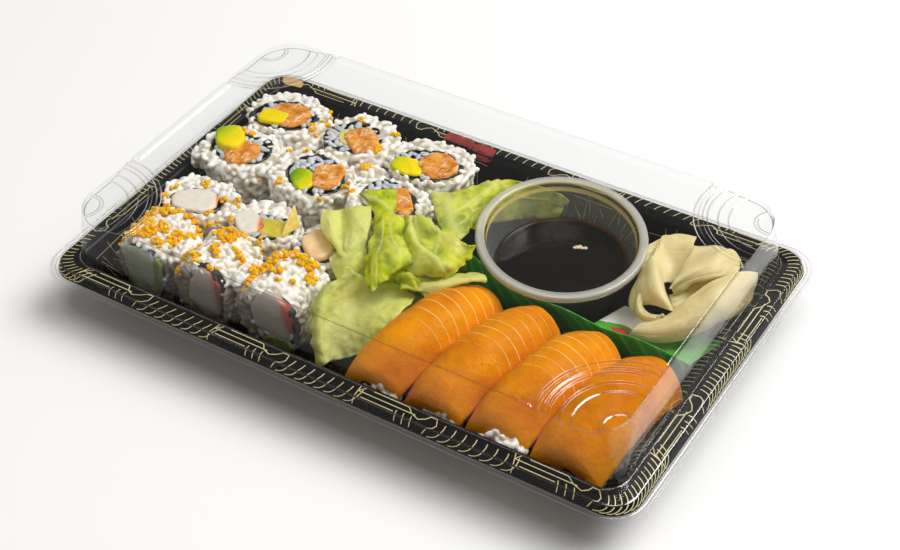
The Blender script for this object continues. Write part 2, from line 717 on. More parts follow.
def make_lid(looks):
    """One thin skin; looks are for the plain sheet, its bends, the wall and the right-hand wall."""
    points, edges = [], []
    for line, closed in lid_lines():
        first = len(points)
        points.extend(Vector(p) for p in line)
        edges.extend((i, i + 1) for i in range(first, len(points) - 1))
        if closed:
            edges.append((len(points) - 1, first))
    verts, _, faces, *_ = delaunay_2d_cdt(points, edges, [], 0, 1e-4)
    flat = [tuple(v) for v in verts]
    middles = [[sum(flat[i][a] for i in f) / len(f) for a in (0, 1)] for f in faces]
    kept = [f for f, middle in zip(faces, middles) if outline_inset(*middle) > -0.001]
    used = sorted({i for f in kept for i in f})
    index = {old: new for new, old in enumerate(used)}
    heap = Heap()
    for fold in (False, True):
        part = [f for f in kept if on_fold(*np.mean([flat[i][:2] for i in f], 0)) == fold]
        heap.add([(*flat[i], lid_height(*flat[i])) for i in used],
                 [tuple(index[i] for i in f) for f in part], int(fold))
    rings = []
    for spot in loop_spots(48, 14):
        x, y = loop_point(LID_X, LID_Y, LID_R, spot)
        wall = [(*loop_point(hx, hy, r, spot), z) for hx, hy, r, z, _ in LID_WALL]
        rings.append([(x, y, lid_height(x, y))] + wall)
    rings = np.array(rings).transpose(1, 0, 2)
    for low, high, (*_, fold) in zip(rings, rings[1:], LID_WALL):
        wall, skin = loft(np.array([low, high]), caps=False)
        for right in (False, True):
            part = [f for f in skin if (wall[list(f), 0].min() > 108 and abs(wall[f[0], 1]) < 62) == right]
            heap.add(wall, part, 1 if fold else 3 if right else 2)
    lid = heap.build("clear_lid", looks, "clear_lid", ["lid"], sharp=50)
    lid.modifiers.new("Weld", "WELD").merge_threshold = 0.00002


# ---------------------------------------------------------------- sauce cup and soy sauce

CUP_RIM = np.array([42.7, 25.7, 33.0])
CUP_HEIGHT = 29.0
CUP_AXIS = Vector((math.sin(math.radians(4.8)), math.sin(math.radians(-2.8)), 1.0)).normalized()
CUP_TURN = np.array(Vector((0, 0, 1)).rotation_difference(CUP_AXIS).to_matrix())
CUP_FOOT = CUP_RIM - np.array(CUP_AXIS) * CUP_HEIGHT
CUP_ANGLES = circle(96)
SAUCE_LEVEL = 19.6


def cup_rings(profile):
    """Rings of a profile (radius, height) turned round the cup's leaning axis."""
    rings = [[(r * math.cos(a), r * math.sin(a), z) for a in CUP_ANGLES] for r, z in profile]
    return np.array(rings) @ CUP_TURN.T + CUP_FOOT


def cup_inner_radius(height):
    """Radius of the cup's inner wall, which widens evenly from its floor to its step."""
    return 20.2 + (27.6 - 20.2) * (height - 1.3) / (27.2 - 1.3)


def make_cup(looks):
    """Thin cup with a stacking step under its broad rolled rim; looks are for its wall, rim and steps."""
    profile = [
        (0.4, 1.3), (19.4, 1.3), (20.1, 1.5), (20.6, 2.4), (26.85, 24.6), (27.25, 25.0), (27.55, 26.9),
        (27.9, 27.6), (28.1, 28.4), (28.5, 28.9), (29.2, 29.0), (29.6, 28.85), (30.2, 28.95), (30.8, 28.9),
        (31.3, 28.55), (31.45, 28.0), (31.45, 26.6), (31.25, 26.45), (31.05, 26.6), (30.95, 28.0),
        (30.5, 28.3), (29.0, 28.2), (28.6, 27.4), (28.2, 26.8), (27.9, 25.0), (27.4, 24.4), (21.2, 2.2),
        (20.9, 0.5), (20.5, 0.0), (19.4, 0.0), (18.8, 0.6), (0.4, 0.6),
    ]
    bands = {i: 2 if i in (5, 8, 17) else 1 if 9 <= i <= 21 else 0 for i in range(len(profile) - 1)}
    indices = [bands[i] for i in bands for _ in CUP_ANGLES] + [0, 0]
    piece("cup_shell", *loft(cup_rings(profile)), looks, "cup_plastic", ["sauce_cup"], sharp=60,
          indices=indices)


def make_soy(look):
    """Sauce that reaches just into the wall and climbs a little at its edge."""
    axis = np.array(CUP_AXIS)
    centre = CUP_FOOT + axis * 16.0
    rings = list(cup_rings([(0.5, 1.25), (18.5, 1.25), (20.3, 1.7), (21.2, 4.5)]))
    edge = [0.0] * len(rings) * len(CUP_ANGLES)
    for share, rise, brown in ((1.004, 0.9, 1.0), (0.99, 0.5, 1.0), (0.972, 0.16, 0.25), (0.94, 0.02, 0.0),
                               (0.85, 0.0, 0.0), (0.5, 0.0, 0.0), (0.02, 0.0, 0.0)):
        ring = []
        for a in CUP_ANGLES:
            point = np.array([centre[0], centre[1], SAUCE_LEVEL])
            for _ in range(4):
                height = (point - CUP_FOOT) @ axis
                middle = CUP_FOOT + axis * height
                reach = cup_inner_radius(height)
                x, y = middle[0] + reach * math.cos(a), middle[1] + reach * math.sin(a)
                point = np.array([x, y, SAUCE_LEVEL])
            spot = middle + (point - middle) * share
            spot[2] = SAUCE_LEVEL + rise
            ring.append(spot)
            edge.append((0.25 + 0.75 * max(0.0, math.sin(a))) * brown)
        rings.append(ring)
    piece("soy_surface", *loft(rings), look, "soy_sauce", ["soy_sauce"], {"edge": edge}, sharp=60)


def make_crumb(look):
    """A pale shred of topping that floats on the sauce."""
    heap, shape = Heap(), ball(7, 10)
    for dx, dy, dz, rx, ry, rz in ((0, 0, 0.15, 1.2, 0.9, 0.6), (1.5, 0.5, 0.15, 1.1, 0.8, 0.5),
                                   (2.8, 1.1, 0.1, 0.8, 0.7, 0.4), (-0.8, -0.7, 0.1, 0.8, 0.6, 0.4),
                                   (0.8, 0.9, 0.3, 0.7, 0.5, 0.5)):
        rough = 1 + 0.3 * rough_noise(shape[0] + (dx, dy, 0), 1.4, 4)[:, None]
        heap.add(shape[0] * rough * (rx, ry, rz) + (43.6 + dx, 36.0 + dy, SAUCE_LEVEL + dz), shape[1])
    heap.build("sauce_crumb", look, "omelette")


# ---------------------------------------------------------------- rice, roe and fillings


def grain_shape():
    """One cooked grain, 4.6 mm long, plump and slightly bent."""
    around, along = 7, 6
    rings = []
    for i in range(1, along):
        t = math.pi * i / along
        x, r = -2.25 * math.cos(t), 1.45 * math.sin(t) ** 0.75
        rings.append([(x, r * math.cos(a), 0.85 * r * math.sin(a) + 0.06 * x * x) for a in circle(around)])
    body = np.array(rings).reshape(-1, 3)
    verts = np.concatenate([body, [[-2.3, 0, 0.3], [2.3, 0, 0.3]]])
    first, end = len(verts) - 2, (along - 2) * around
    faces = grid_faces(along - 1, around, True)
    faces += [(first, (j + 1) % around, j) for j in range(around)]
    faces += [(first + 1, end + j, end + (j + 1) % around) for j in range(around)]
    return verts, faces


GRAIN = grain_shape()
GRAIN_GAP, INNER_GAP = 2.15, 1.75
MELT_VOXEL = 0.42


def add_grain(heap, point, normal, size, sink, tilt, **values):
    """A grain that lies on a surface, sunk in by sink and turned and tilted by chance."""
    normal = Vector(normal) + Vector(rng.normal(0, tilt, 3))
    turn = normal.to_track_quat("Z", "X").to_matrix()
    spin = rng.uniform(0, 2 * math.pi)
    c, s = math.cos(spin), math.sin(spin)
    local = GRAIN[0] * size * rng.uniform(0.82, 1.12, 3) @ np.array([[c, s, 0], [-s, c, 0], [0, 0, 1]])
    verts = local @ np.array(turn).T + np.asarray(point) - np.asarray(normal.normalized()) * sink
    heap.add(verts, GRAIN[1], **values)


def fused(name, heap, core, look, slot, replaces, dull, keep):
    """Grains and core melted into one lumpy skin, as cooked rice sticks together; keep is the share of
    its faces left after those on the flatter spots are merged."""
    rough = heap.build(name + "_grains", look, slot)
    melt = rough.modifiers.new("Melt", "REMESH")
    melt.mode = "VOXEL"
    melt.voxel_size = MELT_VOXEL * MM
    rough.modifiers.new("Thin", "DECIMATE").ratio = keep
    mesh = bpy.data.meshes.new_from_object(rough.evaluated_get(bpy.context.evaluated_depsgraph_get()))
    verts = np.empty(len(mesh.vertices) * 3)
    mesh.vertices.foreach_get("co", verts)
    faces = [tuple(face.vertices) for face in mesh.polygons]
    bpy.data.objects.remove(rough)
    bpy.data.meshes.remove(mesh)
    verts = verts.reshape(-1, 3) / MM
    verts[:, 2] = np.maximum(verts[:, 2], REST_Z)
    depth = bvh(*core)
    tone = [min(depth.find_nearest(Vector(v))[3] / 1.5, 1.0) for v in verts]
    piece(name, verts, faces, look, slot, replaces, {"tone": tone, "dull": dull(verts)})
    return verts, faces


def sprinkle(tris, count, apart, region):
    """Random points on a triangle soup, none nearer to another than apart; gives (point, normal)."""
    a, b, c = tris[:, 0], tris[:, 1], tris[:, 2]
    cross = np.cross(b - a, c - a)
    area = np.linalg.norm(cross, axis=1)
    pick = rng.choice(len(tris), count, p=area / area.sum())
    u, v = rng.random(count), rng.random(count)
    flip = u + v > 1
    u[flip], v[flip] = 1 - u[flip], 1 - v[flip]
    points = a[pick] + (b[pick] - a[pick]) * u[:, None] + (c[pick] - a[pick]) * v[:, None]
    normals = cross[pick] / np.maximum(area[pick], 1e-9)[:, None]
    cells, chosen = {}, []
    for p, n in zip(points, normals):
        if not region(p, n):
            continue
        key = tuple((p // apart).astype(int))
        near = (q for dx in (-1, 0, 1) for dy in (-1, 0, 1) for dz in (-1, 0, 1)
                for q in cells.get((key[0] + dx, key[1] + dy, key[2] + dz), ()))
        if any(((p - q) ** 2).sum() < apart * apart for q in near):
            continue
        cells.setdefault(key, []).append(p)
        chosen.append((p, n))
    return chosen


def soup(verts, faces):
    """Triangles of a mesh as an array."""
    verts = np.asarray(verts)
    tris = [(f[0], f[i], f[i + 1]) for f in faces for i in range(1, len(f) - 1)]
    return verts[np.array(tris)]


def oval_ring(half_x, half_y, count, power=2.3, wobble=0.0, seed=0.0):
    """A closed outline between an oval and a rectangle, slightly uneven."""
    ring = []
    for angle in circle(count):
        c, s = math.cos(angle), math.sin(angle)
        broad = noise.noise(Vector((c * 1.3, s * 1.3, seed * 3.7)))
        fine = noise.noise(Vector((c * 4, s * 4, seed)))
        w = 1 + wobble * broad + wobble * 0.5 * fine
        ring.append([half * math.copysign(abs(t) ** (2 / power), t) * w
                     for half, t in ((half_x, c), (half_y, s))])
    return np.array(ring)


class Face:
    """The cut face of a roll: a plane with its own level axes."""

    def __init__(self, origin, across, up):
        self.origin, self.across, self.up = (np.asarray(v, float) for v in (origin, across, up))
        self.out = np.cross(self.across, self.up)

    def at(self, flat, height):
        """Points on the face, given by their place on it and their height above it."""
        flat = np.asarray(flat, float)
        height = np.broadcast_to(np.asarray(height, float), flat.shape[:-1])[..., None]
        return self.origin + flat[..., :1] * self.across + flat[..., 1:2] * self.up + height * self.out

    def flat(self, point):
        return point @ self.across, point @ self.up


def turned_flat(ring, angle, centre):
    """Flat points turned and moved to a centre."""
    c, s = direction(angle)
    return ring @ np.array([[c, s], [-s, c]]) + np.asarray(centre)


def add_blob(heap, face, centre, half, angle, rise, depth, power, seed, index, tint=None):
    """A lump of filling cut flat: steep sides, a rounded edge and a slightly rough top."""
    steps = [(0.9, -depth), (1.0, -depth * 0.4), (1.0, rise * 0.35), (0.975, rise * 0.72)]
    steps += [(0.92, rise * 0.93)] + [(share, rise) for share in (0.8, 0.6, 0.4, 0.2, 0.03)]
    outline = oval_ring(half[0], half[1], 36, power, 0.16, seed)
    rings, tints = [], []
    for share, height in steps:
        flat = outline * share
        rough = rough_noise(np.concatenate([flat, np.full((len(flat), 1), seed)], 1), 0.42, seed)
        level = height + (rough * 0.35 if height > 0 else 0)
        rings.append(face.at(turned_flat(flat, angle, centre), level))
        tints.append(tint(flat / np.array(half)) if tint else np.zeros(len(flat)))
    heap.add(*loft(rings), index, tint=np.concatenate(tints))


def noise_round(angles, scale, seed):
    """Smooth noise along a closed loop."""
    return np.array([noise.noise(Vector((math.cos(a) * scale, math.sin(a) * scale, seed))) for a in angles])


def add_nori(heap, face, centre, half, angle, seed, lobes, level):
    """The dark sheet seen edge on: a thin wavy closed loop with thick crescents at some bearings."""
    mid = oval_ring(half[0], half[1], 96, 2.2, 0.16, seed)
    angles = circle(96)
    wave = noise_round(angles, 2.2, seed * 9)
    thick = 0.16 + 0.2 * np.maximum(0, wave)
    for bearing, amount in lobes:
        near = np.maximum(0, np.cos(angles - math.radians(bearing - angle)))
        thick += amount / 2 * near ** 5 * (1 + wave * 0.7)
    way = np.roll(mid, -1, 0) - np.roll(mid, 1, 0)
    side = np.stack([way[:, 1], -way[:, 0]], 1)
    side /= np.linalg.norm(side, axis=1, keepdims=True)
    outer, inner = mid + side * thick[:, None], mid - side * thick[:, None]
    top = level + 0.6 * noise_round(angles, 4, seed * 2)
    section = ((outer, -2.5), (outer, top - 0.2), (mid, top), (inner, top - 0.2), (inner, -2.5))
    rings = [face.at(turned_flat(ring, angle, centre), height) for ring, height in section]
    heap.add(*loft(rings, caps=False))


def green_side(bearing, level):
    """Avocado: green on one side, yellow on the other."""
    c, s = direction(bearing)
    return lambda flat: level - 0.42 * (flat[:, 0] * c + flat[:, 1] * s)


def red_side(bearing, reach):
    """Crab stick: red skin on one side's edge."""
    c, s = direction(bearing)
    return lambda flat: np.clip((flat[:, 0] * c + flat[:, 1] * s - (1 - reach)) / reach * 1.3, 0, 1) * 0.95


STANDING = {  # node: foot centre, face centre, half sizes of the face, height of the face
    "roll_salmon_1": ((-89.5, 13.0), (-95.8, 12.9), (15.9, 12.5), 29.0),
    "roll_salmon_2": ((-59.8, 13.2), (-60.6, 13.2), (17.0, 13.6), 29.5),
    "roll_salmon_3": ((-29.0, 15.0), (-26.2, 15.2), (15.9, 12.7), 29.0),
    "roll_salmon_4": ((-89.0, 39.6), (-91.8, 40.2), (16.6, 13.4), 30.0),
    "roll_salmon_5": ((-59.0, 41.0), (-58.2, 43.6), (14.6, 12.9), 29.0),
    "roll_salmon_6": ((-28.0, 41.5), (-23.9, 42.7), (17.0, 13.3), 29.5),
    "roll_crab_1": ((-88.5, -18.6), (-89.6, -18.6), (15.4, 11.3), 29.5),
    "roll_crab_2": ((-59.8, -18.0), (-59.8, -17.8), (13.7, 11.3), 29.0),
    "roll_crab_3": ((-32.0, -16.0), (-32.0, -15.8), (13.0, 11.2), 28.0),
}
LYING = {  # node: centre across, front, back, half width, top
    "roll_crab_4": (-90.7, -53.6, -31.6, 13.5, 32.5),
    "roll_crab_5": (-62.9, -54.0, -31.2, 13.7, 33.0),
    "roll_crab_6": (-34.2, -53.6, -29.0, 14.2, 33.0),
}
REST_Z = 2.2
NORI = {  # node: centre, half sizes, angle, seed, (bearing, extra thickness) of its dark crescents
    "roll_salmon_1": ((-95.3, 13.4), (12.4, 8.6), -2, 1, [(70, 2.6), (30, 1.2)]),
    "roll_salmon_2": ((-58.6, 13.6), (12.6, 10.0), -22, 2, [(100, 2.4), (45, 1.2)]),
    "roll_salmon_3": ((-26.4, 15.1), (12.6, 9.4), -30, 3, [(25, 3.2), (140, 0.5)]),
    "roll_salmon_4": ((-91.8, 38.6), (12.6, 8.6), 14, 4, [(25, 2.2), (150, 1.8), (215, 1.2)]),
    "roll_salmon_5": ((-60.3, 40.8), (11.8, 8.9), 13, 5, [(105, 1.8), (200, 0.5)]),
    "roll_salmon_6": ((-25.2, 39.6), (13.4, 8.9), 16, 6, [(15, 2.2), (120, 1.0), (240, 0.5)]),
    "roll_crab_1": ((-89.0, -21.6), (10.2, 6.8), 15, 7, [(20, 0.5)]),
    "roll_crab_2": ((-58.4, -20.6), (11.6, 6.6), 10, 8, [(70, 1.5), (-60, 0.8)]),
    "roll_crab_3": ((-34.1, -19.0), (9.0, 6.5), -30, 9, [(60, 0.4)]),
    "roll_crab_4": ((-89.6, 18.2), (10.0, 12.6), 0, 10, [(0, 0.3)]),
    "roll_crab_5": ((-60.4, 20.2), (7.7, 11.6), -8, 11, [(0, 0.3)]),
    "roll_crab_6": ((-30.6, 18.8), (10.0, 13.0), -4, 12, [(20, 0.5), (250, 0.4)]),
}
FILLS = {  # node: kind, centre, half sizes, angle, rise, vertex value
    "roll_salmon_1": [("salmon", (-91.9, 10.4), (7.8, 5.8), 70, 1.3, None),
                      ("avocado", (-101.3, 15.2), (7.4, 6.0), -50, 3.0, green_side(215, 0.46))],
    "roll_salmon_2": [("avocado", (-61.6, 8.8), (6.4, 4.6), -37, 0.9, green_side(210, 0.24)),
                      ("salmon", (-54.0, 14.4), (8.2, 6.0), -81, 1.0, None)],
    "roll_salmon_3": [("salmon", (-20.5, 16.6), (8.3, 3.8), -51, 0.8, None),
                      ("avocado", (-29.5, 13.5), (6.0, 5.0), -51, 0.5, green_side(200, 0.4))],
    "roll_salmon_4": [("salmon", (-90.0, 38.9), (8.8, 7.4), 10, 1.0, None),
                      ("avocado", (-94.8, 34.8), (6.6, 4.3), 10, 1.5, green_side(220, 0.98))],
    "roll_salmon_5": [("salmon", (-55.8, 40.7), (7.9, 6.6), -43, 1.2, None)],
    "roll_salmon_6": [("salmon", (-20.7, 40.7), (7.8, 7.0), -26, 1.2, None),
                      ("avocado", (-30.4, 35.2), (7.0, 4.7), 0, 0.9, green_side(190, 0.66))],
    "roll_crab_1": [("crab", (-89.0, -22.2), (9.5, 6.2), 15, 1.0, red_side(15, 0.28))],
    "roll_crab_2": [("crab", (-64.0, -22.0), (7.1, 5.2), -46, 1.4, red_side(72, 0.5)),
                    ("egg", (-53.6, -20.0), (6.8, 4.7), 12, 0.6, None)],
    "roll_crab_3": [("tan", (-34.1, -19.4), (7.9, 5.8), -42, 1.8, None)],
    "roll_crab_4": [("cucumber", (-91.6, 18.4), (7.6, 11.6), 2, 0.8, None),
                    ("green", (-83.0, 18.2), (2.0, 9.6), -4, 0.7, None)],
    "roll_crab_5": [("crab_low", (-60.5, 20.4), (7.1, 10.9), -8, 0.5, red_side(20, 0.62))],
    "roll_crab_6": [("crab_low", (-30.8, 22.0), (9.3, 9.6), -4, 0.5, red_side(15, 0.68)),
                    ("green", (-29.0, 10.2), (7.0, 3.2), 14, 0.6, None)],
}
CREAM = {"roll_salmon_5": ((-62.0, 39.6), (5.4, 3.7), -37)}


def roll_rings(node):
    """The rice body of a roll as rings from its foot, or its back, to its cut face."""
    around, inset = 56, 0.3
    seed = float(sorted(NORI).index(node))
    rings = []
    if node in STANDING:
        foot, face, half, top = STANDING[node]
        foot_size = np.array([min(half[0], 14.2), min(half[1], 12.6)])
        for share in np.linspace(0, 1, 16):
            centre = np.array(foot) + (np.array(face) - foot) * share
            reach = foot_size + (np.array(half) + 1.0 - foot_size) * share
            edge = 1 - 0.05 * max(0, share * 16 - 14.6) / 1.4 - 0.1 * max(0, 1 - share * 14)
            flat = oval_ring(*(reach * edge - inset), around) + centre
            height = REST_Z + (top - 0.6 - REST_Z) * share
            rings.append(np.concatenate([flat, np.full((around, 1), height)], 1))
    else:
        x, front, back, half, top = LYING[node]
        middle, tall = (top + REST_Z) / 2, (top - REST_Z) / 2
        for share in np.linspace(0, 1, 14):
            edge = 1 - 0.1 * max(0, share * 14 - 12.6) / 1.4 - 0.1 * max(0, 1 - share * 12)
            flat = oval_ring(half * edge - inset, tall * (0.5 + edge / 2) - inset, around)
            y = back + (front + 0.6 - back) * share
            rings.append(np.stack([x + flat[:, 0], np.full(around, y), middle + flat[:, 1]], 1))
    rings = np.array(rings)
    lump = grid_noise(rings, 0.3, seed) * 0.7 + grid_noise(rings, 0.14, seed + 40) * 1.4
    out = rings - rings.mean(axis=1, keepdims=True)
    out /= np.maximum(np.linalg.norm(out, axis=2, keepdims=True), 1e-9)
    return rings + out * (lump[..., None] - 0.5)


def face_of(node):
    if node in STANDING:
        return Face((0, 0, STANDING[node][3] - 0.6), (1, 0, 0), (0, 1, 0))
    return Face((0, LYING[node][1] + 0.6, 0), (1, 0, 0), (0, 0, 1))


def face_cap(node, rim):
    """The rough rice of the cut face, from its rim in to the middle of the seaweed loop."""
    face, steps = face_of(node), 14
    centre = face.at(np.array(NORI[node][0]), 0.0)
    rings = np.array([rim + (centre - rim) * share for share in np.linspace(0, 0.97, steps)])
    lump = grid_noise(rings, 0.5, 3.0) + 0.5 * grid_noise(rings, 1.1, 5.0)
    lift = lump * 0.42 * np.minimum(1, np.linspace(0, 3, steps))[:, None]
    return rings + lift[..., None] * face.out


def in_oval(flat, centre, half, angle, grow):
    c, s = direction(angle)
    d = np.asarray(flat) - centre
    u, v = d[0] * c + d[1] * s, -d[0] * s + d[1] * c
    return (abs(u) / (half[0] * grow)) ** 2.2 + (abs(v) / (half[1] * grow)) ** 2.2 < 1


BRIDGES = {  # node: lumps of rice that join it to its neighbours, as centre and half sizes
    "roll_salmon_1": [((-98.5, 26.0, 24.0), (7.0, 2.8, 4.5)), ((-87.5, 26.5, 24.5), (5.0, 2.6, 4.0)),
                      ((-110.0, 8.5, 23.5), (3.0, 6.5, 4.5)), ((-78.5, 20.5, 24.0), (3.0, 6.0, 4.2))],
    "roll_salmon_4": [((-77.0, 31.5, 25.0), (4.2, 4.2, 3.8)), ((-74.2, 40.5, 24.8), (3.0, 5.0, 3.8))],
    "roll_salmon_5": [((-62.0, 29.6, 25.2), (7.0, 3.0, 3.4)), ((-42.6, 43.5, 24.8), (3.0, 5.5, 3.8))],
    "roll_salmon_2": [((-45.0, 28.5, 22.8), (8.5, 6.0, 3.8)), ((-43.2, 17.0, 23.8), (2.6, 5.0, 4.0))],
    "roll_crab_2": [((-74.5, -17.5, 24.6), (3.0, 5.5, 4.0))],
    "roll_crab_4": [((-77.0, -44.0, 25.0), (3.0, 8.0, 4.6))],
    "roll_crab_5": [((-48.8, -43.0, 25.0), (3.0, 8.0, 4.6))],
}


def gather(parts):
    """Parts in a heap that grains can join, and the bare mesh of the parts alone."""
    heap = Heap()
    for part in parts:
        heap.add(*part)
    return heap, (np.concatenate(heap.verts), list(heap.faces))


def roll_filter(node, face):
    """What tells the spots for outer grains and the spots for grains inside the seaweed loop."""
    oval = NORI[node][:3]

    def outer(p, n):
        if face.out @ n > 0.7:
            return not in_oval(face.flat(p), *oval, 1.1)
        return n[2] > -0.7 if node in STANDING else face.out @ n > -0.95

    def inner(p, n):
        flat = face.flat(p)
        clear = not any(in_oval(flat, spot, half, angle, 0.97) for _, spot, half, angle, *_ in FILLS[node])
        return face.out @ n > 0.7 and clear and in_oval(flat, *oval, 0.88)

    return outer, inner


def dull_standing(points):
    """A little of the shade at the foot of a standing roll."""
    return np.clip((25.0 - points[:, 2]) / 8.0, 0, 1) * 0.2


def dull_lying(points):
    """The shaded low front of a lying roll."""
    low, front = (29.0 - points[:, 2]) / 6.0, (-45.0 - points[:, 1]) / 4.0
    return np.clip(low, 0, 1) * np.clip(front, 0, 1) * 0.85


def make_rolls(looks):
    """Every roll: rice melted together, the seaweed loop, the greyer rice inside it and its fillings."""
    nori, fill, inside, tops = Heap(), Heap(), Heap(), Heap()
    kinds = ["avocado", "salmon", "crab", "crab_low", "tan", "egg", "cucumber", "green", "cream"]
    shape = ball(9, 14)
    for number, node in enumerate(sorted(NORI)):
        body, face, standing = roll_rings(node), face_of(node), node in STANDING
        lumps = [(shape[0] * half + spot, shape[1]) for spot, half in BRIDGES.get(node, ())]
        heap, core = gather([loft(np.concatenate([body, face_cap(node, body[-1])[1:]]))] + lumps)
        outer, inner = roll_filter(node, face)
        size = 1.0 if standing else 0.82
        for p, n in sprinkle(soup(*core), 11000, GRAIN_GAP * size, outer):
            sink = 0.4 if face.out @ n > 0.7 else 0.3
            add_grain(heap, p, n, size * rng.uniform(0.78, 1.05), sink, 0.4)
        spot, half, angle, seed, lobes = NORI[node]
        floor = oval_ring(half[0], half[1], 40, 2.2)
        rings = [face.at(turned_flat(floor * share, angle, spot), 0.55) for share in (0.98, 0.6, 0.2, 0.01)]
        inside.add(*loft(rings), tone=0.3)
        for p, n in sprinkle(soup(*core), 6000, INNER_GAP, inner):
            add_grain(inside, p, n, rng.uniform(0.9, 1.1), 0.1, 0.25, tone=rng.uniform(0.3, 0.75))
        dull = dull_standing if standing else dull_lying
        tops.add(*fused(node + "_rice", heap, core, looks["rice"], "roll_rice", [node], dull, 0.5))
        add_nori(nori, face, spot, half, angle, seed, lobes, 0.6 if standing else 0.0)
        for order, (what, spot, half, angle, rise, tint) in enumerate(FILLS[node]):
            power = 3.2 if what in ("cucumber", "egg") else 2.5
            add_blob(fill, face, spot, half, angle, rise + 0.7, 3.0, power, number + order * 0.37,
                     kinds.index(what), tint)
        if node in CREAM:
            add_blob(fill, face, *CREAM[node], 1.5, 1.0, 2.2, 4.4, kinds.index("cream"))
    inside.build("roll_inner_rice", looks["rice_grey"], "roll_rice")
    nori.build("nori_loops", looks["nori"], "nori")
    fill.build("roll_fillings", [looks[k] for k in kinds], "salmon")
    return tops.tree()


ROE_ON_CRAB = [  # clusters: place across and along the tray, radius, count
    (-99, -45, 6.5, 70), (-99, -35, 4.5, 40), (-92, -45, 6.4, 50), (-82, -49, 3.6, 16), (-90, -34, 3.6, 18),
    (-83, -43, 3.6, 18), (-84, -34, 3.6, 12), (-76, -40, 3.6, 10), (-70, -49, 4.5, 20), (-71, -52, 2.7, 6),
    (-77, -34, 3.2, 12), (-71, -31, 4.5, 22), (-72, -25, 2.7, 8), (-65, -36, 4.5, 26), (-62, -32, 3.6, 16),
    (-55, -38, 3.6, 14), (-63, -43, 3.2, 12), (-64, -52, 1.8, 4), (-57, -51, 1.8, 6), (-54, -30, 2.3, 8),
    (-93, -12, 1.8, 4), (-101, -19, 1.4, 3), (-78, -14, 3.0, 8), (-41, -30, 4.1, 18), (-42, -36, 3.2, 16),
    (-35, -34, 3.6, 14), (-44, -42, 4.1, 24), (-42, -50, 2.7, 9), (-39, -42, 2.3, 8), (-35, -40, 1.8, 5),
    (-35, -30, 2.7, 9), (-29, -32, 2.7, 10), (-25, -33, 3.2, 12), (-24, -37, 2.7, 12), (-34, -45, 1.8, 3),
    (-28, -44, 1.4, 2), (-50, -33, 2.0, 4), (-79, -27, 3.5, 9), (-99, -28, 3.5, 14),
]
ROE_ON_SALMON = [
    (-77, 37, 1.8, 9), (-74, 42, 1.8, 5), (-71.5, 26, 2.3, 10), (-75, 50, 2.3, 7), (-47, 50, 1.8, 6),
    (-45.5, 38, 2.4, 9), (-45.5, 28, 2.3, 9), (-44, 12, 2.7, 9), (-64, 52, 1.4, 3), (-101, 24, 1.4, 3),
    (-97, 24, 1.4, 3), (-78, 22, 1.4, 3), (-49, 4, 0.9, 2), (-80, 4, 2.0, 5), (-70, 3, 1.6, 4),
]


def ball(rows=5, around=8):
    verts = [(0, 0, 1)] + [(math.sin(t) * math.cos(a), math.sin(t) * math.sin(a), math.cos(t))
                           for t in np.linspace(0, math.pi, rows + 2)[1:-1]
                           for a in circle(around)] + [(0, 0, -1)]
    body = [tuple(i + 1 for i in face) for face in grid_faces(rows, around, True)]
    last = rows * around + 1
    ends = [(0, 1 + j, 1 + (j + 1) % around) for j in range(around)]
    ends += [(last, last - around + (j + 1) % around, last - around + j) for j in range(around)]
    return np.array(verts, float), body + ends


def make_roe(look, surface):
    """Small roe dropped on the rolls in clusters."""
    heap, shape = Heap(), ball()
    for x, y, radius, count in ROE_ON_CRAB + ROE_ON_SALMON:
        clumps = [(radius * math.sqrt(rng.random()), rng.uniform(0, 2 * math.pi))
                  for _ in range(1 + count // 5)]
        for _ in range(int(count * 1.9)):
            reach, turn = clumps[rng.integers(len(clumps))]
            px = x + reach * math.cos(turn) + rng.normal(0, 0.8)
            py = y + reach * math.sin(turn) + rng.normal(0, 0.8)
            hit = surface.ray_cast(Vector((px, py, 44.0)), Vector((0, 0, -1)))
            if hit[0] is None or hit[0].z < 12:
                continue
            size = rng.uniform(0.6, 1.0)
            squeeze = size * rng.uniform((0.8, 0.8, 0.65), (1.35, 1.35, 1.0))
            place = np.array([px, py, hit[0].z + size * rng.uniform(0.1, 0.9)])
            heap.add(shape[0] * squeeze + place, shape[1])
    heap.build("roe", look, "roe")


# ---------------------------------------------------------------- nigiri

NIGIRI = [  # front, back, half widths, ridge heights, how far its left and right sides hang
    ((15.2, -60.8), (29.8, -4.0), (12.7, 11.9), (20.6, 33.4, 24.5), (14.5, 14.0)),
    ((39.8, -60.8), (53.0, -4.6), (12.7, 12.0), (20.6, 32.8, 26.0), (14.5, 14.0)),
    ((64.9, -60.8), (77.2, -5.0), (13.0, 12.0), (20.8, 34.0, 25.5), (14.5, 14.0)),
    ((91.0, -60.6), (100.5, -6.0), (14.2, 12.2), (20.2, 34.5, 25.0), (14.5, 20.0)),
]
TOES = [  # where rice swells out under each front: centre, half sizes, how dull it is
    ((20.4, -59.8, 15.0), (6.8, 2.2, 4.4), 0.8),
    ((44.0, -59.8, 14.8), (7.2, 2.2, 4.2), 0.85),
    ((69.2, -60.4, 15.6), (8.4, 2.6, 5.6), 0.12),
    ((94.0, -58.6, 12.5), (7.0, 2.0, 4.0), 0.6),
]
ARCH = math.radians(74)


def ridge(share, front_z, top_z, back_z):
    """Height along the top of a nigiri, which climbs fast from its front and falls gently to its back."""
    peak = 0.56
    if share < peak:
        return front_z + (top_z - front_z) * math.sin(math.pi / 2 * share / peak) ** 0.5
    return top_z + (back_z - top_z) * (1 - math.cos(math.pi / 2 * (share - peak) / (1 - peak))) ** 1.3


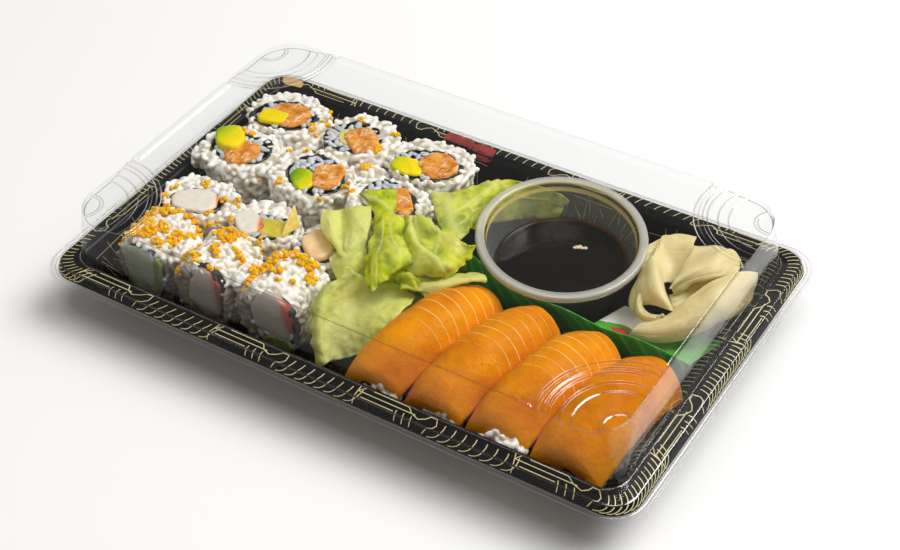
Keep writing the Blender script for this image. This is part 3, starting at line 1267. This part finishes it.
def nigiri_point(form, share, cross, inset):
    """A point on the slice's arch: share runs front to back and cross from -1 to 1."""
    front, back, widths, heights, hang = form
    share = min(max(share, 0.0), 1.0)
    slant = (back[0] - front[0]) / (back[1] - front[1])
    centre = np.array(front) + (np.array(back) - front) * share
    way = np.array([1.0, -slant * share])
    way /= np.linalg.norm(way)
    half = widths[0] + (widths[1] - widths[0]) * share
    half *= 1 - (0.05 if share < 0.5 else 0.22) * abs(2 * share - 1) ** 5
    bend = cross * ARCH
    spot = centre + way * (half - inset) * math.sin(bend) / math.sin(ARCH)
    drop = hang[cross > 0] * (1 - math.cos(bend)) - 2.2 * cross * max(0.0, 1 - share / 0.15)
    return np.array([*spot, max(ridge(share, *heights) - drop - inset, 4.0 - inset * 0.3)])


def make_slice(look, number):
    """A slab of fish: the arch above, its own thickness below, rounded lips all round."""
    half_thick = 1.8
    lips = np.linspace(0.2, 0.8, 4) * math.pi
    section = [(cross, 1.0, cross) for cross in np.linspace(-0.97, 0.97, 30)]
    section += [(0.97 + 0.035 * math.sin(turn), math.cos(turn), 1.0) for turn in lips]
    section += [(cross, -1.0, cross) for cross in np.linspace(0.97, -0.97, 16)]
    section += [(-0.97 - 0.035 * math.sin(turn), math.cos(turn), -1.0) for turn in lips[::-1]]
    lengths = [0.0, 0.004, 0.012, 0.025, *np.linspace(0.04, 0.96, 56), 0.975, 0.988, 0.996, 1.0]
    rings = []
    for share in lengths:
        end = min(share, 1 - share) * 58
        slim = math.sqrt(max(0.0, 1 - max(0.0, 1 - end / half_thick) ** 2))
        rings.append([nigiri_point(NIGIRI[number - 1], share, cross, half_thick * (1 - slim * side))
                      for cross, side, _ in section])
    shares = np.repeat(lengths, len(section))
    crosses = np.tile([cross for *_, cross in section], len(lengths))
    verts, faces = loft(rings)
    flakes = np.sin((shares + 0.03 * crosses ** 2) * 12.5 * 2 * math.pi)
    soft = rough_noise(verts, 0.09, number) * 0.7 + rough_noise(verts, 0.28, number + 5) * 0.22
    soft += flakes * 0.07 * (shares > 0.4)
    verts = verts + np.stack([soft * 0.15, soft * 0.1, soft], 1)
    streaky = 0.42 if number == 4 else 1.0
    piece(f"fish_{number}", verts, faces, look, "salmon", [f"salmon_{number}"],
          {"share": shares * streaky, "cross": crosses}, sharp=70)


def make_rice_block(look, number):
    """The rice under a slice: a lumpy block with loose grains wherever it shows."""
    start, stop = (0.0 if number == 3 else 0.02), 0.9
    arch = 28
    rings = []
    for step in range(25):
        share = start + (stop - start) * step / 24
        taper = 1 - 0.3 * abs(step / 12 - 1) ** 6
        crosses = [(i / (arch - 1) * 2 - 1) * taper for i in range(arch)]
        ring = [nigiri_point(NIGIRI[number - 1], share, cross, 4.9) for cross in crosses]
        for point in ring:
            point[2] = max(point[2] - 0.4, REST_Z + 3)
        ring += [ring[-1] + (ring[0] - ring[-1]) * t for t in np.linspace(0, 1, 9)[1:-1]]
        ring = np.array(ring)
        ring[arch:, 2] = REST_Z
        ring[[0, arch - 1], 2] = REST_Z + 3
        ring[:, 1] = np.maximum(ring[:, 1], -54.2 - 0.42 * ring[:, 2])
        rings.append(ring)
    rings = np.array(rings)
    rings[:, :arch, 2] += grid_noise(rings, 0.3, number + 20)[:, :arch] * 0.4
    spot, half, dull = TOES[number - 1]
    shape = ball(9, 14)
    heap, core = gather([loft(rings), (shape[0] * half + spot, shape[1])])
    top = rings[:, :, 2].max()

    def seen(p, n):
        return p[2] > REST_Z + 1.0 and (p[2] < top - 3 or p[1] < -52)

    for p, n in sprinkle(soup(*core), 5000, 2.1, seen):
        add_grain(heap, p, n, rng.uniform(0.75, 0.95), 0.6, 0.2)
    fused(f"nigiri_block_{number}", heap, core, look, "nigiri_rice", [f"nigiri_rice_{number}"],
          lambda points: np.full(len(points), dull), 0.3)


# ---------------------------------------------------------------- lettuce, ginger and small things

LETTUCE = {  # leaf: node, how far it is blanched, how ruffled, rows of points across it, and its ribs,
    # each with its start, its end (as shares of the rows and of the columns) and its width
    "lettuce_cup": ("lettuce_front", 0.72, 0.45, [
        ((-15, -33, 30), (-19, -39, 28), (-18, -46, 24), (-15, -52, 17), (-10, -56, 9)),
        ((-11, -30, 34), (-15, -38, 32), (-14, -46, 28), (-11, -52, 21), (-7, -56, 12)),
        ((-9, -28, 32), (-12, -36, 28), (-12, -42, 24), (-9, -48, 19), (-6, -53, 12)),
        ((-5, -24, 27), (-8, -30, 24), (-6, -38, 23), (-3, -45, 19), (-4, -51, 12)),
        ((1, -20, 26), (1, -27, 25), (3, -36, 26), (3, -43, 22), (1, -48, 14)),
        ((10, -22, 26), (11, -26, 27), (11, -35, 27), (8, -42, 23), (4, -48, 16)),
    ], [((0.62, 0.2), (0.4, 0.95), 0.1), ((0.8, 0.15), (0.8, 0.8), 0.07), ((0.5, 0.3), (0.95, 0.6), 0.05),
        ((0.3, 0.1), (0.22, 0.9), 0.05)]),
    "lettuce_curl": ("lettuce_front", 0.6, 0.35, [
        ((-25, -25, 31), (-23, -21, 32), (-19, -20, 33), (-16, -15, 33)),
        ((-23, -27, 29), (-19, -25, 32), (-15, -22, 34), (-14, -17, 33)),
        ((-18, -30, 28), (-16, -28, 31), (-14, -24, 32), (-12, -20, 31)),
        ((-16, -30, 27), (-14, -29, 28), (-12, -27, 28), (-10, -23, 27)),
    ], [((0.3, 0.0), (0.35, 1.0), 0.12)]),
    "lettuce_flap": ("lettuce_left", 0.85, 0.35, [
        ((-40, -7, 35), (-36, -7, 36), (-34, -3, 34), (-28, -3, 38), (-23, 0, 38)),
        ((-37, -12, 34), (-32, -13, 36), (-30, -9, 34), (-24, -9, 38), (-19, -6, 37)),
        ((-33, -17, 33), (-28, -18, 35), (-27, -14, 34), (-21, -15, 36), (-17, -11, 36)),
        ((-28, -19, 33), (-24, -21, 34), (-22, -20, 34), (-19, -20, 35), (-16, -14, 34)),
        ((-20, -24, 32), (-19, -25, 32), (-18, -24, 33), (-17, -21, 33), (-16, -15, 33)),
    ], [((0.0, 0.72), (0.8, 0.6), 0.1), ((0.2, 0.75), (0.5, 0.98), 0.04), ((0.2, 0.2), (0.6, 0.35), 0.05)]),
    "lettuce_strap": ("lettuce_mid", 0.1, 0.4, [
        ((-32, 5, 37), (-30, 7, 38), (-27, 9, 38), (-24, 12, 38), (-22, 15, 36)),
        ((-22, -1, 38), (-19, 0, 39), (-17, 1, 39), (-15, 1, 38), (-13, 2, 36)),
        ((-16, -8, 38), (-13, -8, 40), (-11, -6, 40), (-9, -3, 40), (-8, 0, 38)),
        ((-13, -15, 37), (-9, -15, 39), (-6, -14, 40), (-3, -12, 40), (-2, -7, 38)),
        ((-11, -21, 36), (-7, -22, 38), (-2, -21, 40), (2, -18, 40), (3, -13, 38)),
        ((-7, -27, 34), (-3, -28, 36), (0, -26, 38), (4, -24, 38), (7, -17, 37)),
        ((-3, -32, 31), (0, -33, 32), (1, -30, 34), (2, -27, 35), (3, -23, 35)),
    ], [((0.3, 0.3), (0.98, 0.35), 0.05), ((0.35, 0.5), (0.7, 0.75), 0.05),
        ((0.05, 0.1), (0.2, 0.8), 0.05)]),
    "lettuce_folds": ("lettuce_mid", 0.2, 0.4, [
        ((-9, -1, 38), (-6, 0, 40), (-6, 3, 38), (-4, 5, 38), (0, 5, 37)),
        ((-5, -6, 38), (-1, -7, 42), (-1, -2, 37), (2, 0, 38), (6, 1, 38)),
        ((-1, -12, 37), (4, -12, 42), (4, -6, 37), (8, -3, 38), (11, -1, 39)),
        ((3, -17, 36), (9, -14, 41), (10, -9, 37), (14, -6, 38), (16, -2, 40)),
        ((6, -20, 34), (14, -15, 40), (16, -11, 38), (17, -7, 38), (19, -1, 38)),
        ((13, -17, 33), (18, -16, 37), (20, -12, 37), (20, -7, 36), (20, 3, 35)),
        ((18, -15, 32), (19, -15, 33), (20, -12, 34), (21, -8, 34), (20, -1, 33)),
    ], [((0.0, 0.3), (0.85, 0.26), 0.09), ((0.1, 0.95), (0.75, 0.85), 0.14),
        ((0.3, 0.85), (0.55, 0.45), 0.04), ((0.5, 0.2), (0.75, 0.0), 0.04)]),
    "lettuce_blade": ("lettuce_back", 0.2, 0.45, [
        ((-9, 19, 36), (-4, 13, 36), (2, 6, 37), (9, -1, 38)),
        ((-6, 21, 37), (1, 14, 38), (7, 7, 38), (15, 0, 38)),
        ((-3, 24, 36), (4, 18, 37), (10, 10, 38), (15, 4, 37)),
        ((2, 31, 36), (7, 25, 36), (9, 19, 35), (11, 13, 32)),
        ((6, 37, 36), (9, 32, 35), (9, 27, 31), (10, 20, 26)),
        ((10, 44, 33), (11, 41, 31), (11, 36, 27), (11, 30, 22)),
        ((17, 49, 30), (16, 48, 26), (15, 45, 22), (15, 41, 18)),
        ((24, 53, 27), (23, 52, 24), (22, 50, 20), (21, 48, 16)),
        ((29, 56, 22), (28, 55, 20), (27, 53, 17), (26, 52, 14)),
    ], [((0.1, 0.0), (0.16, 1.0), 0.16), ((0.15, 0.5), (0.6, 0.1), 0.04), ((0.2, 0.75), (0.6, 0.6), 0.04),
        ((0.6, 0.5), (1.0, 0.4), 0.04)]),
    "lettuce_lip": ("lettuce_low", 0.7, 0.3, [
        ((12, -20, 31), (17, -17, 32), (19, -11, 32), (24, -7, 32), (29, -5, 31)),
        ((12, -22, 30), (18, -19, 32), (22, -15, 32), (26, -11, 32), (30, -6, 30)),
        ((15, -23, 28), (19, -20, 29), (22, -15, 30), (26, -10, 30), (29, -6, 29)),
    ], [((0.5, 0.0), (0.6, 1.0), 0.5)]),
    "lettuce_frill": ("lettuce_low", 0.1, 0.9, [
        ((2, -24, 33), (4, -21, 34), (10, -17, 34), (17, -15, 33)),
        ((2, -23, 31), (6, -22, 32), (12, -20, 32), (17, -16, 31)),
        ((5, -23, 29), (8, -24, 30), (13, -23, 30), (15, -20, 29)),
    ], [((0.9, 0.0), (0.9, 1.0), 0.1)]),
    "lettuce_under": ("lettuce_mid", 0.0, 1.0, [
        ((-14, 6, 3), (-6, 12, 3), (2, 16, 4), (8, 20, 5)),
        ((-15, -4, 20), (-7, 3, 24), (1, 8, 26), (6, 10, 20)),
        ((-12, -12, 27), (-4, -8, 31), (4, -2, 31), (10, 2, 24)),
        ((-6, -20, 24), (2, -16, 29), (10, -11, 28), (14, -5, 18)),
        ((-2, -22, 8), (6, -18, 12), (12, -13, 10), (15, -9, 4)),
    ], [((0.3, 0.0), (0.5, 1.0), 0.06)]),
}
GINGER = {  # slice: node, rows of points across it
    "ginger_band": ("ginger_front", [
        ((86, 7, 25), (91, 11, 27), (95, 15, 30), (98, 21, 33),
         (101, 27, 35), (104, 32, 35), (107, 38, 34), (110, 47, 28)),
        ((85, 4, 25), (92, 7, 28), (97, 11, 31), (102, 16, 34),
         (105, 21, 36), (108, 27, 36), (110, 33, 34), (111, 45, 26)),
        ((84, 2, 24), (92, 4, 26), (99, 7, 29), (104, 13, 31),
         (108, 19, 32), (110, 25, 31), (111, 34, 28), (111, 43, 22)),
        ((83, 2, 22), (92, 3, 22), (100, 7, 23), (105, 14, 24),
         (108, 20, 24), (110, 26, 23), (111, 33, 21), (111, 43, 19)),
    ]),
    "ginger_arch": ("ginger_top", [
        ((87, 43, 33), (90, 45, 33), (94, 48, 33), (98, 48, 33), (102, 47, 32), (106, 44, 31)),
        ((89, 22, 32), (90, 25, 34), (93, 30, 36), (97, 37, 37), (100, 44, 36), (104, 45, 33)),
        ((89, 22, 30), (91, 24, 32), (95, 28, 34), (100, 32, 35), (102, 35, 34), (106, 40, 32)),
        ((90, 22, 28), (93, 24, 30), (95, 27, 32), (99, 29, 33), (102, 33, 33), (104, 36, 32)),
    ]),
    "ginger_hollow": ("ginger_top", [
        ((88, 22, 27), (91, 26, 27), (94, 34, 28), (98, 38, 29)),
        ((91, 19, 25), (93, 23, 25), (96, 30, 25), (100, 38, 26)),
        ((92, 17, 22), (96, 20, 22), (99, 27, 22), (102, 34, 22)),
    ]),
    "ginger_ridge": ("ginger_left", [
        ((73, 32, 26), (74, 25, 25), (75, 19, 24), (76, 15, 23), (78, 13, 22)),
        ((75, 32, 30), (77, 24, 30), (79, 19, 30), (82, 15, 29), (84, 14, 27)),
        ((75, 34, 31), (81, 24, 34), (86, 17, 34), (90, 13, 33), (93, 12, 30)),
        ((77, 35, 29), (83, 27, 30), (87, 21, 30), (91, 17, 29), (93, 15, 27)),
    ]),
    "ginger_curl": ("ginger_left", [
        ((79, 19, 26), (79, 15, 25), (81, 11, 24), (84, 9, 24), (89, 9, 25), (91, 11, 27)),
        ((80, 18, 28), (80, 14, 28), (82, 10, 27), (86, 8, 27), (90, 8, 28), (92, 10, 29)),
        ((82, 17, 27), (82, 13, 27), (84, 11, 27), (87, 10, 27), (90, 10, 28), (92, 11, 28)),
    ]),
    "ginger_back": ("ginger_hump", [
        ((75, 39, 30), (73, 46, 30), (77, 47, 31), (81, 47, 31), (86, 45, 32), (90, 47, 32)),
        ((76, 33, 30), (76, 39, 29), (79, 41, 29), (83, 42, 30), (88, 42, 32), (93, 42, 33)),
        ((80, 30, 28), (80, 34, 27), (83, 36, 26), (87, 37, 28), (91, 37, 31), (94, 36, 34)),
        ((83, 26, 27), (84, 30, 25), (85, 30, 25), (87, 30, 27), (89, 29, 31), (91, 30, 34)),
    ]),
    "ginger_low": ("ginger_hump", [
        ((70, 42, 28), (72, 47, 28), (76, 52, 28), (83, 54, 28)),
        ((70, 37, 27), (73, 42, 27), (78, 46, 27), (84, 49, 28)),
        ((72, 32, 25), (75, 37, 23), (80, 41, 22), (86, 44, 23)),
    ]),
}


def rib_values(rows, columns, ribs):
    """How strongly each grid point lies on a rib, 0 to 1, with finer veins branching off."""
    lines = []
    for start, end, width in ribs:
        a, b = np.array(start), np.array(end)
        way = b - a
        lines.append((a, b, width, 1.0))
        for k in range(1, 6):
            root = a + way * k / 6
            for side in (-1, 1):
                out = np.array([-way[1], way[0]]) * side * 0.45 + way * 0.35
                lines.append((root, root + out * rng.uniform(0.6, 1.0), width * 0.22, 0.3))
    value = np.zeros((rows, columns))
    for i, j in np.ndindex(rows, columns):
        p = np.array([i / (rows - 1), j / (columns - 1)])
        for a, b, width, strength in lines:
            t = min(max((p - a) @ (b - a) / ((b - a) @ (b - a)), 0), 1)
            gap = np.linalg.norm(p - a - (b - a) * t) / (width * (1 - 0.5 * t))
            if gap < 1:
                value[i, j] = max(value[i, j], strength * (1 - gap) ** 0.7)
    return value


def make_lettuce(look):
    """Blistered leaves with pale ribs and frilled edges."""
    for number, (name, (node, pale, ruffle, rows, ribs)) in enumerate(LETTUCE.items()):
        grid = surface_through(rows)
        rib = rib_values(*grid.shape[:2], ribs)
        frill = np.clip(1 - from_edge(*grid.shape[:2])[0] / 0.14, 0, 1) ** 1.5
        blister = np.abs(grid_noise(grid, 0.16, number))
        fold = grid_noise(grid, 0.1, number + 9)
        wave = grid_noise(grid, 0.34, number + 17)
        fine = np.abs(grid_noise(grid, 0.4, number + 29))
        blanch = np.clip(pale + 0.5 * grid_noise(grid, 0.07, number + 3), 0, 1)
        lift = (0.35 - blister) * 2.2 * (1 - rib) + fold * 1.6 + wave * frill * 3.4 + rib * 0.3 - fine * 0.9
        grid = raised(grid, lift * ruffle)
        sheet_piece(name, node, "lettuce", look, grid, 0.4 + 0.5 * rib, rib=rib, pale=blanch,
                    lift=0.52 - 1.1 * blister - 0.5 * fine + 0.35 * fold)


def make_ginger(look):
    """Thin folded slices with fibres along them and thinner, clearer edges."""
    for number, (name, (node, rows)) in enumerate(GINGER.items()):
        grid = surface_through(rows)
        soft = grid_noise(grid, 0.12, number + 30)
        edge, u, v = from_edge(*grid.shape[:2])
        across = np.stack([u * 9, v * 1.6, np.full(u.shape, number * 3.1)], 2)
        fibre = grid_noise(across, 1.0) + 0.6 * grid_noise(across, 2.3)
        thin = np.clip(edge / 0.12, 0, 1)
        grid = raised(grid, soft * 0.8 + fibre * 0.2)
        sheet_piece(name, node, "pickled_ginger", look, grid, 0.45 + 0.75 * thin,
                    lift=0.3 + 0.22 * fibre + 0.15 * soft, rib=0 * u, pale=0.35 * (1 - thin))


def make_divider(look):
    """A moulded green sheet with slanting veins, in one row of waves across the tray."""
    grid = surface_through([
        ((15, 5, 9), (30, 0, 8), (46, 2, 8), (60, 3, 8), (75, 1, 9), (90, -1, 9), (103, -1, 10)),
        ((14, 6, 19), (30, 0.5, 18), (46, 0.5, 18), (60, 1, 18),
         (75, -0.5, 17), (90, -1.5, 17), (106, -2, 17)),
        ((14, 7, 27), (30, 0, 28), (46, -3.6, 28), (60, -2.6, 27),
         (75, -2.5, 25), (90, -1.5, 25), (109, -2, 23)),
    ], 18)
    row, column = np.indices(grid.shape[:2])
    run = (column / 8.0 + row / len(grid) * 1.6) % 1.0
    veins = np.maximum(0, 1 - np.abs(run - 0.5) / 0.2) * 0.7
    sheet_piece("divider_leaf", "leaf_divider", "divider_green", look, grid, 0.4, rib=veins,
                pale=0 * veins, lift=0 * veins + 0.2)


SACHET_CENTRE, SACHET_HALF, SACHET_THICK, SACHET_LEAN = (87.0, 15.0, 13.0), (19.5, 15.5), 3.2, -24.0
RED_SPOTS = ((-0.78, -0.48), (-0.98, -0.12))


def make_sachet(looks):
    """White film pillow with crimped ends, a green border and two red fields."""
    c, s = direction(SACHET_LEAN)
    turn = np.array([[1, 0, 0], [0, c, -s], [0, s, c]])
    rows, columns = 48, 56
    spots = {(i, j): (i / (rows - 1) * 2 - 1, j / (columns - 1) * 2 - 1)
             for i, j in np.ndindex(rows, columns)}
    verts, fields = [], []
    for side in (1, -1):
        for u, v in spots.values():
            swell = (1 - v ** 4) * (1 - u ** 4)
            crimp = 0.18 * math.sin(u * 60) * (abs(v) > 0.88)
            crease = 0.3 * noise.noise(Vector((v * 3, u * 3, side)))
            z = side * (SACHET_THICK / 2 * swell * 0.92 + 0.12) + crimp + crease * swell
            verts.append((v * SACHET_HALF[0], u * SACHET_HALF[1], z))
    for u, v in (spots[cell] for cell in np.ndindex(rows - 1, columns - 1)):
        green = u < -0.46 + 0.03 * math.sin(v * 9) or v > 0.27
        ripple = 1 + 0.25 * math.sin(u * 25 + v * 18)
        red = any(math.hypot((u - a) / 0.17, (v - b) / 0.2) < ripple for a, b in RED_SPOTS)
        fields.append(2 if red else 1 if green else 0)
    faces = slab_faces(rows, columns)
    indices = fields * 2 + [0] * (len(faces) - 2 * len(fields))
    placed = np.array(verts) @ turn.T + SACHET_CENTRE
    piece("sachet_pillow", placed, faces, looks, "sachet_film", ["sachet"], indices=indices)


def make_flake(look):
    """A small curled piece of omelette on a roll."""
    grid = surface_through([
        ((-48.5, -22.5, 29.5), (-45.5, -15, 29.5)),
        ((-48.8, -19.5, 32), (-46.4, -14.2, 32.4)),
        ((-49.3, -14.6, 35), (-48.4, -12.6, 35.4)),
        ((-49.6, -12.2, 36.4), (-49.4, -11.8, 36.4)),
    ])
    grid = raised(grid, grid_noise(grid, 0.5, 3) * 0.25)
    sheet_piece("omelette_piece", "omelette_flake", "omelette", look, grid, 0.8)


# ---------------------------------------------------------------- stage


def area_light(name, place, aim, size, power, colour=(1, 1, 1)):
    data = bpy.data.lights.new(name, "AREA")
    data.shape = "RECTANGLE"
    data.size, data.size_y = size
    data.energy = power
    data.color = colour
    item = new_object(name, data)
    item.location = place
    item.rotation_euler = (Vector(aim) - Vector(place)).to_track_quat("-Z", "Y").to_euler()


def make_stage():
    """A plain pale floor and soft studio light, strongest from behind on the right."""
    mesh = bpy.data.meshes.new("floor")
    mesh.from_pydata([(-4, -4, 0), (4, -4, 0), (4, 4, 0), (-4, 4, 0)], [], [(0, 1, 2, 3)])
    look = Look("floor_white")
    look.set(base=(0.92, 0.92, 0.92), rough=0.6, spec=0.2)
    mesh.materials.append(look.mat)
    new_object("floor", mesh)
    world = bpy.data.worlds.new("studio")
    world.use_nodes = True
    world.node_tree.nodes["Background"].inputs["Color"].default_value = (1.0, 0.96, 0.91, 1)
    world.node_tree.nodes["Background"].inputs["Strength"].default_value = 0.165
    bpy.context.scene.world = world
    bpy.context.scene.view_settings.view_transform = "Standard"
    area_light("key", (0.9, 0.8, 1.65), (0, 0, 0.02), (1.3, 1.1), 40.0, (1.0, 0.995, 0.985))
    area_light("top", (0.15, -0.05, 1.95), (0, 0, 0.02), (0.8, 0.8), 8.0)
    area_light("fill", (-1.2, -1.8, 1.6), (0, 0, 0.02), (2.0, 2.0), 7.0, (1.0, 0.93, 0.84))


def make_camera():
    data = bpy.data.cameras.new("camera")
    data.lens, data.sensor_width = 68.6, 36.0
    data.clip_start = 0.01
    item = new_object("camera", data)
    right, up = Vector((0.84451, 0.53418, -0.03813)), Vector((-0.32983, 0.57488, 0.74881))
    turn = Matrix((right, up, right.cross(up))).transposed().to_4x4()
    item.matrix_world = Matrix.Translation((0.275196, -0.388971, 0.434326)) @ turn
    bpy.context.scene.camera = item


# ---------------------------------------------------------------- all of it


def main():
    black, gold = black_plastic_look(), gold_look()
    make_tray(black)
    make_print(gold)
    fields = Heap()
    wall_patch(fields, 513, 2.2, (7, 3.6), 0)
    wall_patch(fields, 501, 1.0, (5, 4.2), 0)
    wall_patch(fields, 597, 3.0, (5.5, 2.6), 1)
    fields.build("rim_fields", [print_look("red_field", (0.14, 0.012, 0.01), (0.4, 0.05, 0.035)),
                                print_look("tan_field", (0.6, 0.36, 0.14), (0.78, 0.52, 0.26))], "gold_print")
    make_lid([clear_look("lid_plastic", (0.985, 0.988, 0.99), 0.003, (0.95, 0.96, 0.97)),
              clear_look("lid_fold", (0.84, 0.81, 0.76), 0.008, (1.0, 0.96, 0.86), 0.06, 4.2),
              clear_look("lid_wall", (0.975, 0.98, 0.98), 0.004, (0.95, 0.96, 0.97), 0.03, 0.4),
              clear_look("lid_side", (0.97, 0.975, 0.98), 0.02, (0.95, 0.96, 0.97), 0.03, 1.2)])
    make_cup([clear_look("cup_plastic", (0.93, 0.935, 0.93), 0.06, (0.85, 0.86, 0.86), 0.08),
              clear_look("cup_rim", (0.94, 0.94, 0.92), 0.3, (1.0, 0.98, 0.91), 0.18, 1.2),
              clear_look("cup_step", (0.96, 0.84, 0.45), 0.6, (1.0, 0.8, 0.3), 0.2, 1.0)])
    make_soy(soy_look())
    make_crumb(plain_food_look("crumb", (0.72, 0.58, 0.3), (0.9, 0.84, 0.66), 0.4, 500.0))
    looks = {
        "rice": rice_look("rice", (0.97, 0.945, 0.89), (0.89, 0.85, 0.76), (0.5, 0.43, 0.3)),
        "rice_grey": rice_look("rice_inside", (0.64, 0.66, 0.69), (0.5, 0.52, 0.55), (0.2, 0.21, 0.22)),
        "nori": nori_look(),
        "avocado": avocado_look(),
        "salmon": fish_fill_look(),
        "crab": crab_look("crab_stick", (0.84, 0.78, 0.66), (0.88, 0.7, 0.52), (0.85, 0.32, 0.1),
                          (0.6, 0.08, 0.03)),
        "crab_low": crab_look("crab_in_shade", (0.5, 0.45, 0.38), (0.5, 0.36, 0.29), (0.48, 0.18, 0.13),
                              (0.34, 0.05, 0.03)),
    }
    for key, *shades, rough in (
        ("tan", (0.86, 0.55, 0.26), (0.94, 0.7, 0.4), 0.4),
        ("egg", (0.58, 0.46, 0.04), (0.76, 0.62, 0.09), 0.35),
        ("cucumber", (0.36, 0.42, 0.27), (0.55, 0.58, 0.44), 0.3),
        ("green", (0.16, 0.24, 0.05), (0.36, 0.44, 0.12), 0.35),
        ("cream", (0.6, 0.6, 0.12), (0.86, 0.78, 0.34), 0.35),
    ):
        looks[key] = plain_food_look(key if key == "cucumber" else key + "_filling", *shades, rough)
    surface = make_rolls(looks)
    make_roe(plain_food_look("roe", (1.0, 0.4, 0.0), (1.0, 0.58, 0.004), 0.25, 150.0, 0.05, 0.3,
                             (1.0, 0.5, 0.1), 0.15), surface)
    fish = salmon_look()
    for number in range(1, 5):
        make_slice(fish, number)
        make_rice_block(looks["rice"], number)
    make_lettuce(leaf_look("lettuce", (0.4, 0.5, 0.0), (0.76, 0.84, 0.0), (1.0, 0.98, 0.13),
                           (1.0, 1.0, 0.42)))
    make_ginger(leaf_look("ginger", (0.88, 0.69, 0.25), (0.98, 0.85, 0.42), (1.0, 0.92, 0.54),
                          (1.0, 0.95, 0.66), 0.34, 0.3))
    make_divider(leaf_look("divider", (0.02, 0.34, 0.035), (0.04, 0.46, 0.06), (0.14, 0.6, 0.13),
                           (0.36, 0.68, 0.28), 0.3, 0.3))
    make_sachet([print_look("film_white", (0.95, 0.95, 0.86), (1.0, 1.0, 0.94), 0.3),
                 print_look("film_green", (0.08, 0.36, 0.03), (0.14, 0.5, 0.06), 0.3),
                 print_look("film_red", (0.5, 0.06, 0.03), (0.68, 0.12, 0.06), 0.3)])
    make_flake(plain_food_look("omelette", (0.92, 0.66, 0.13), (0.98, 0.8, 0.28), 0.4))
    make_stage()
    make_camera()


main()
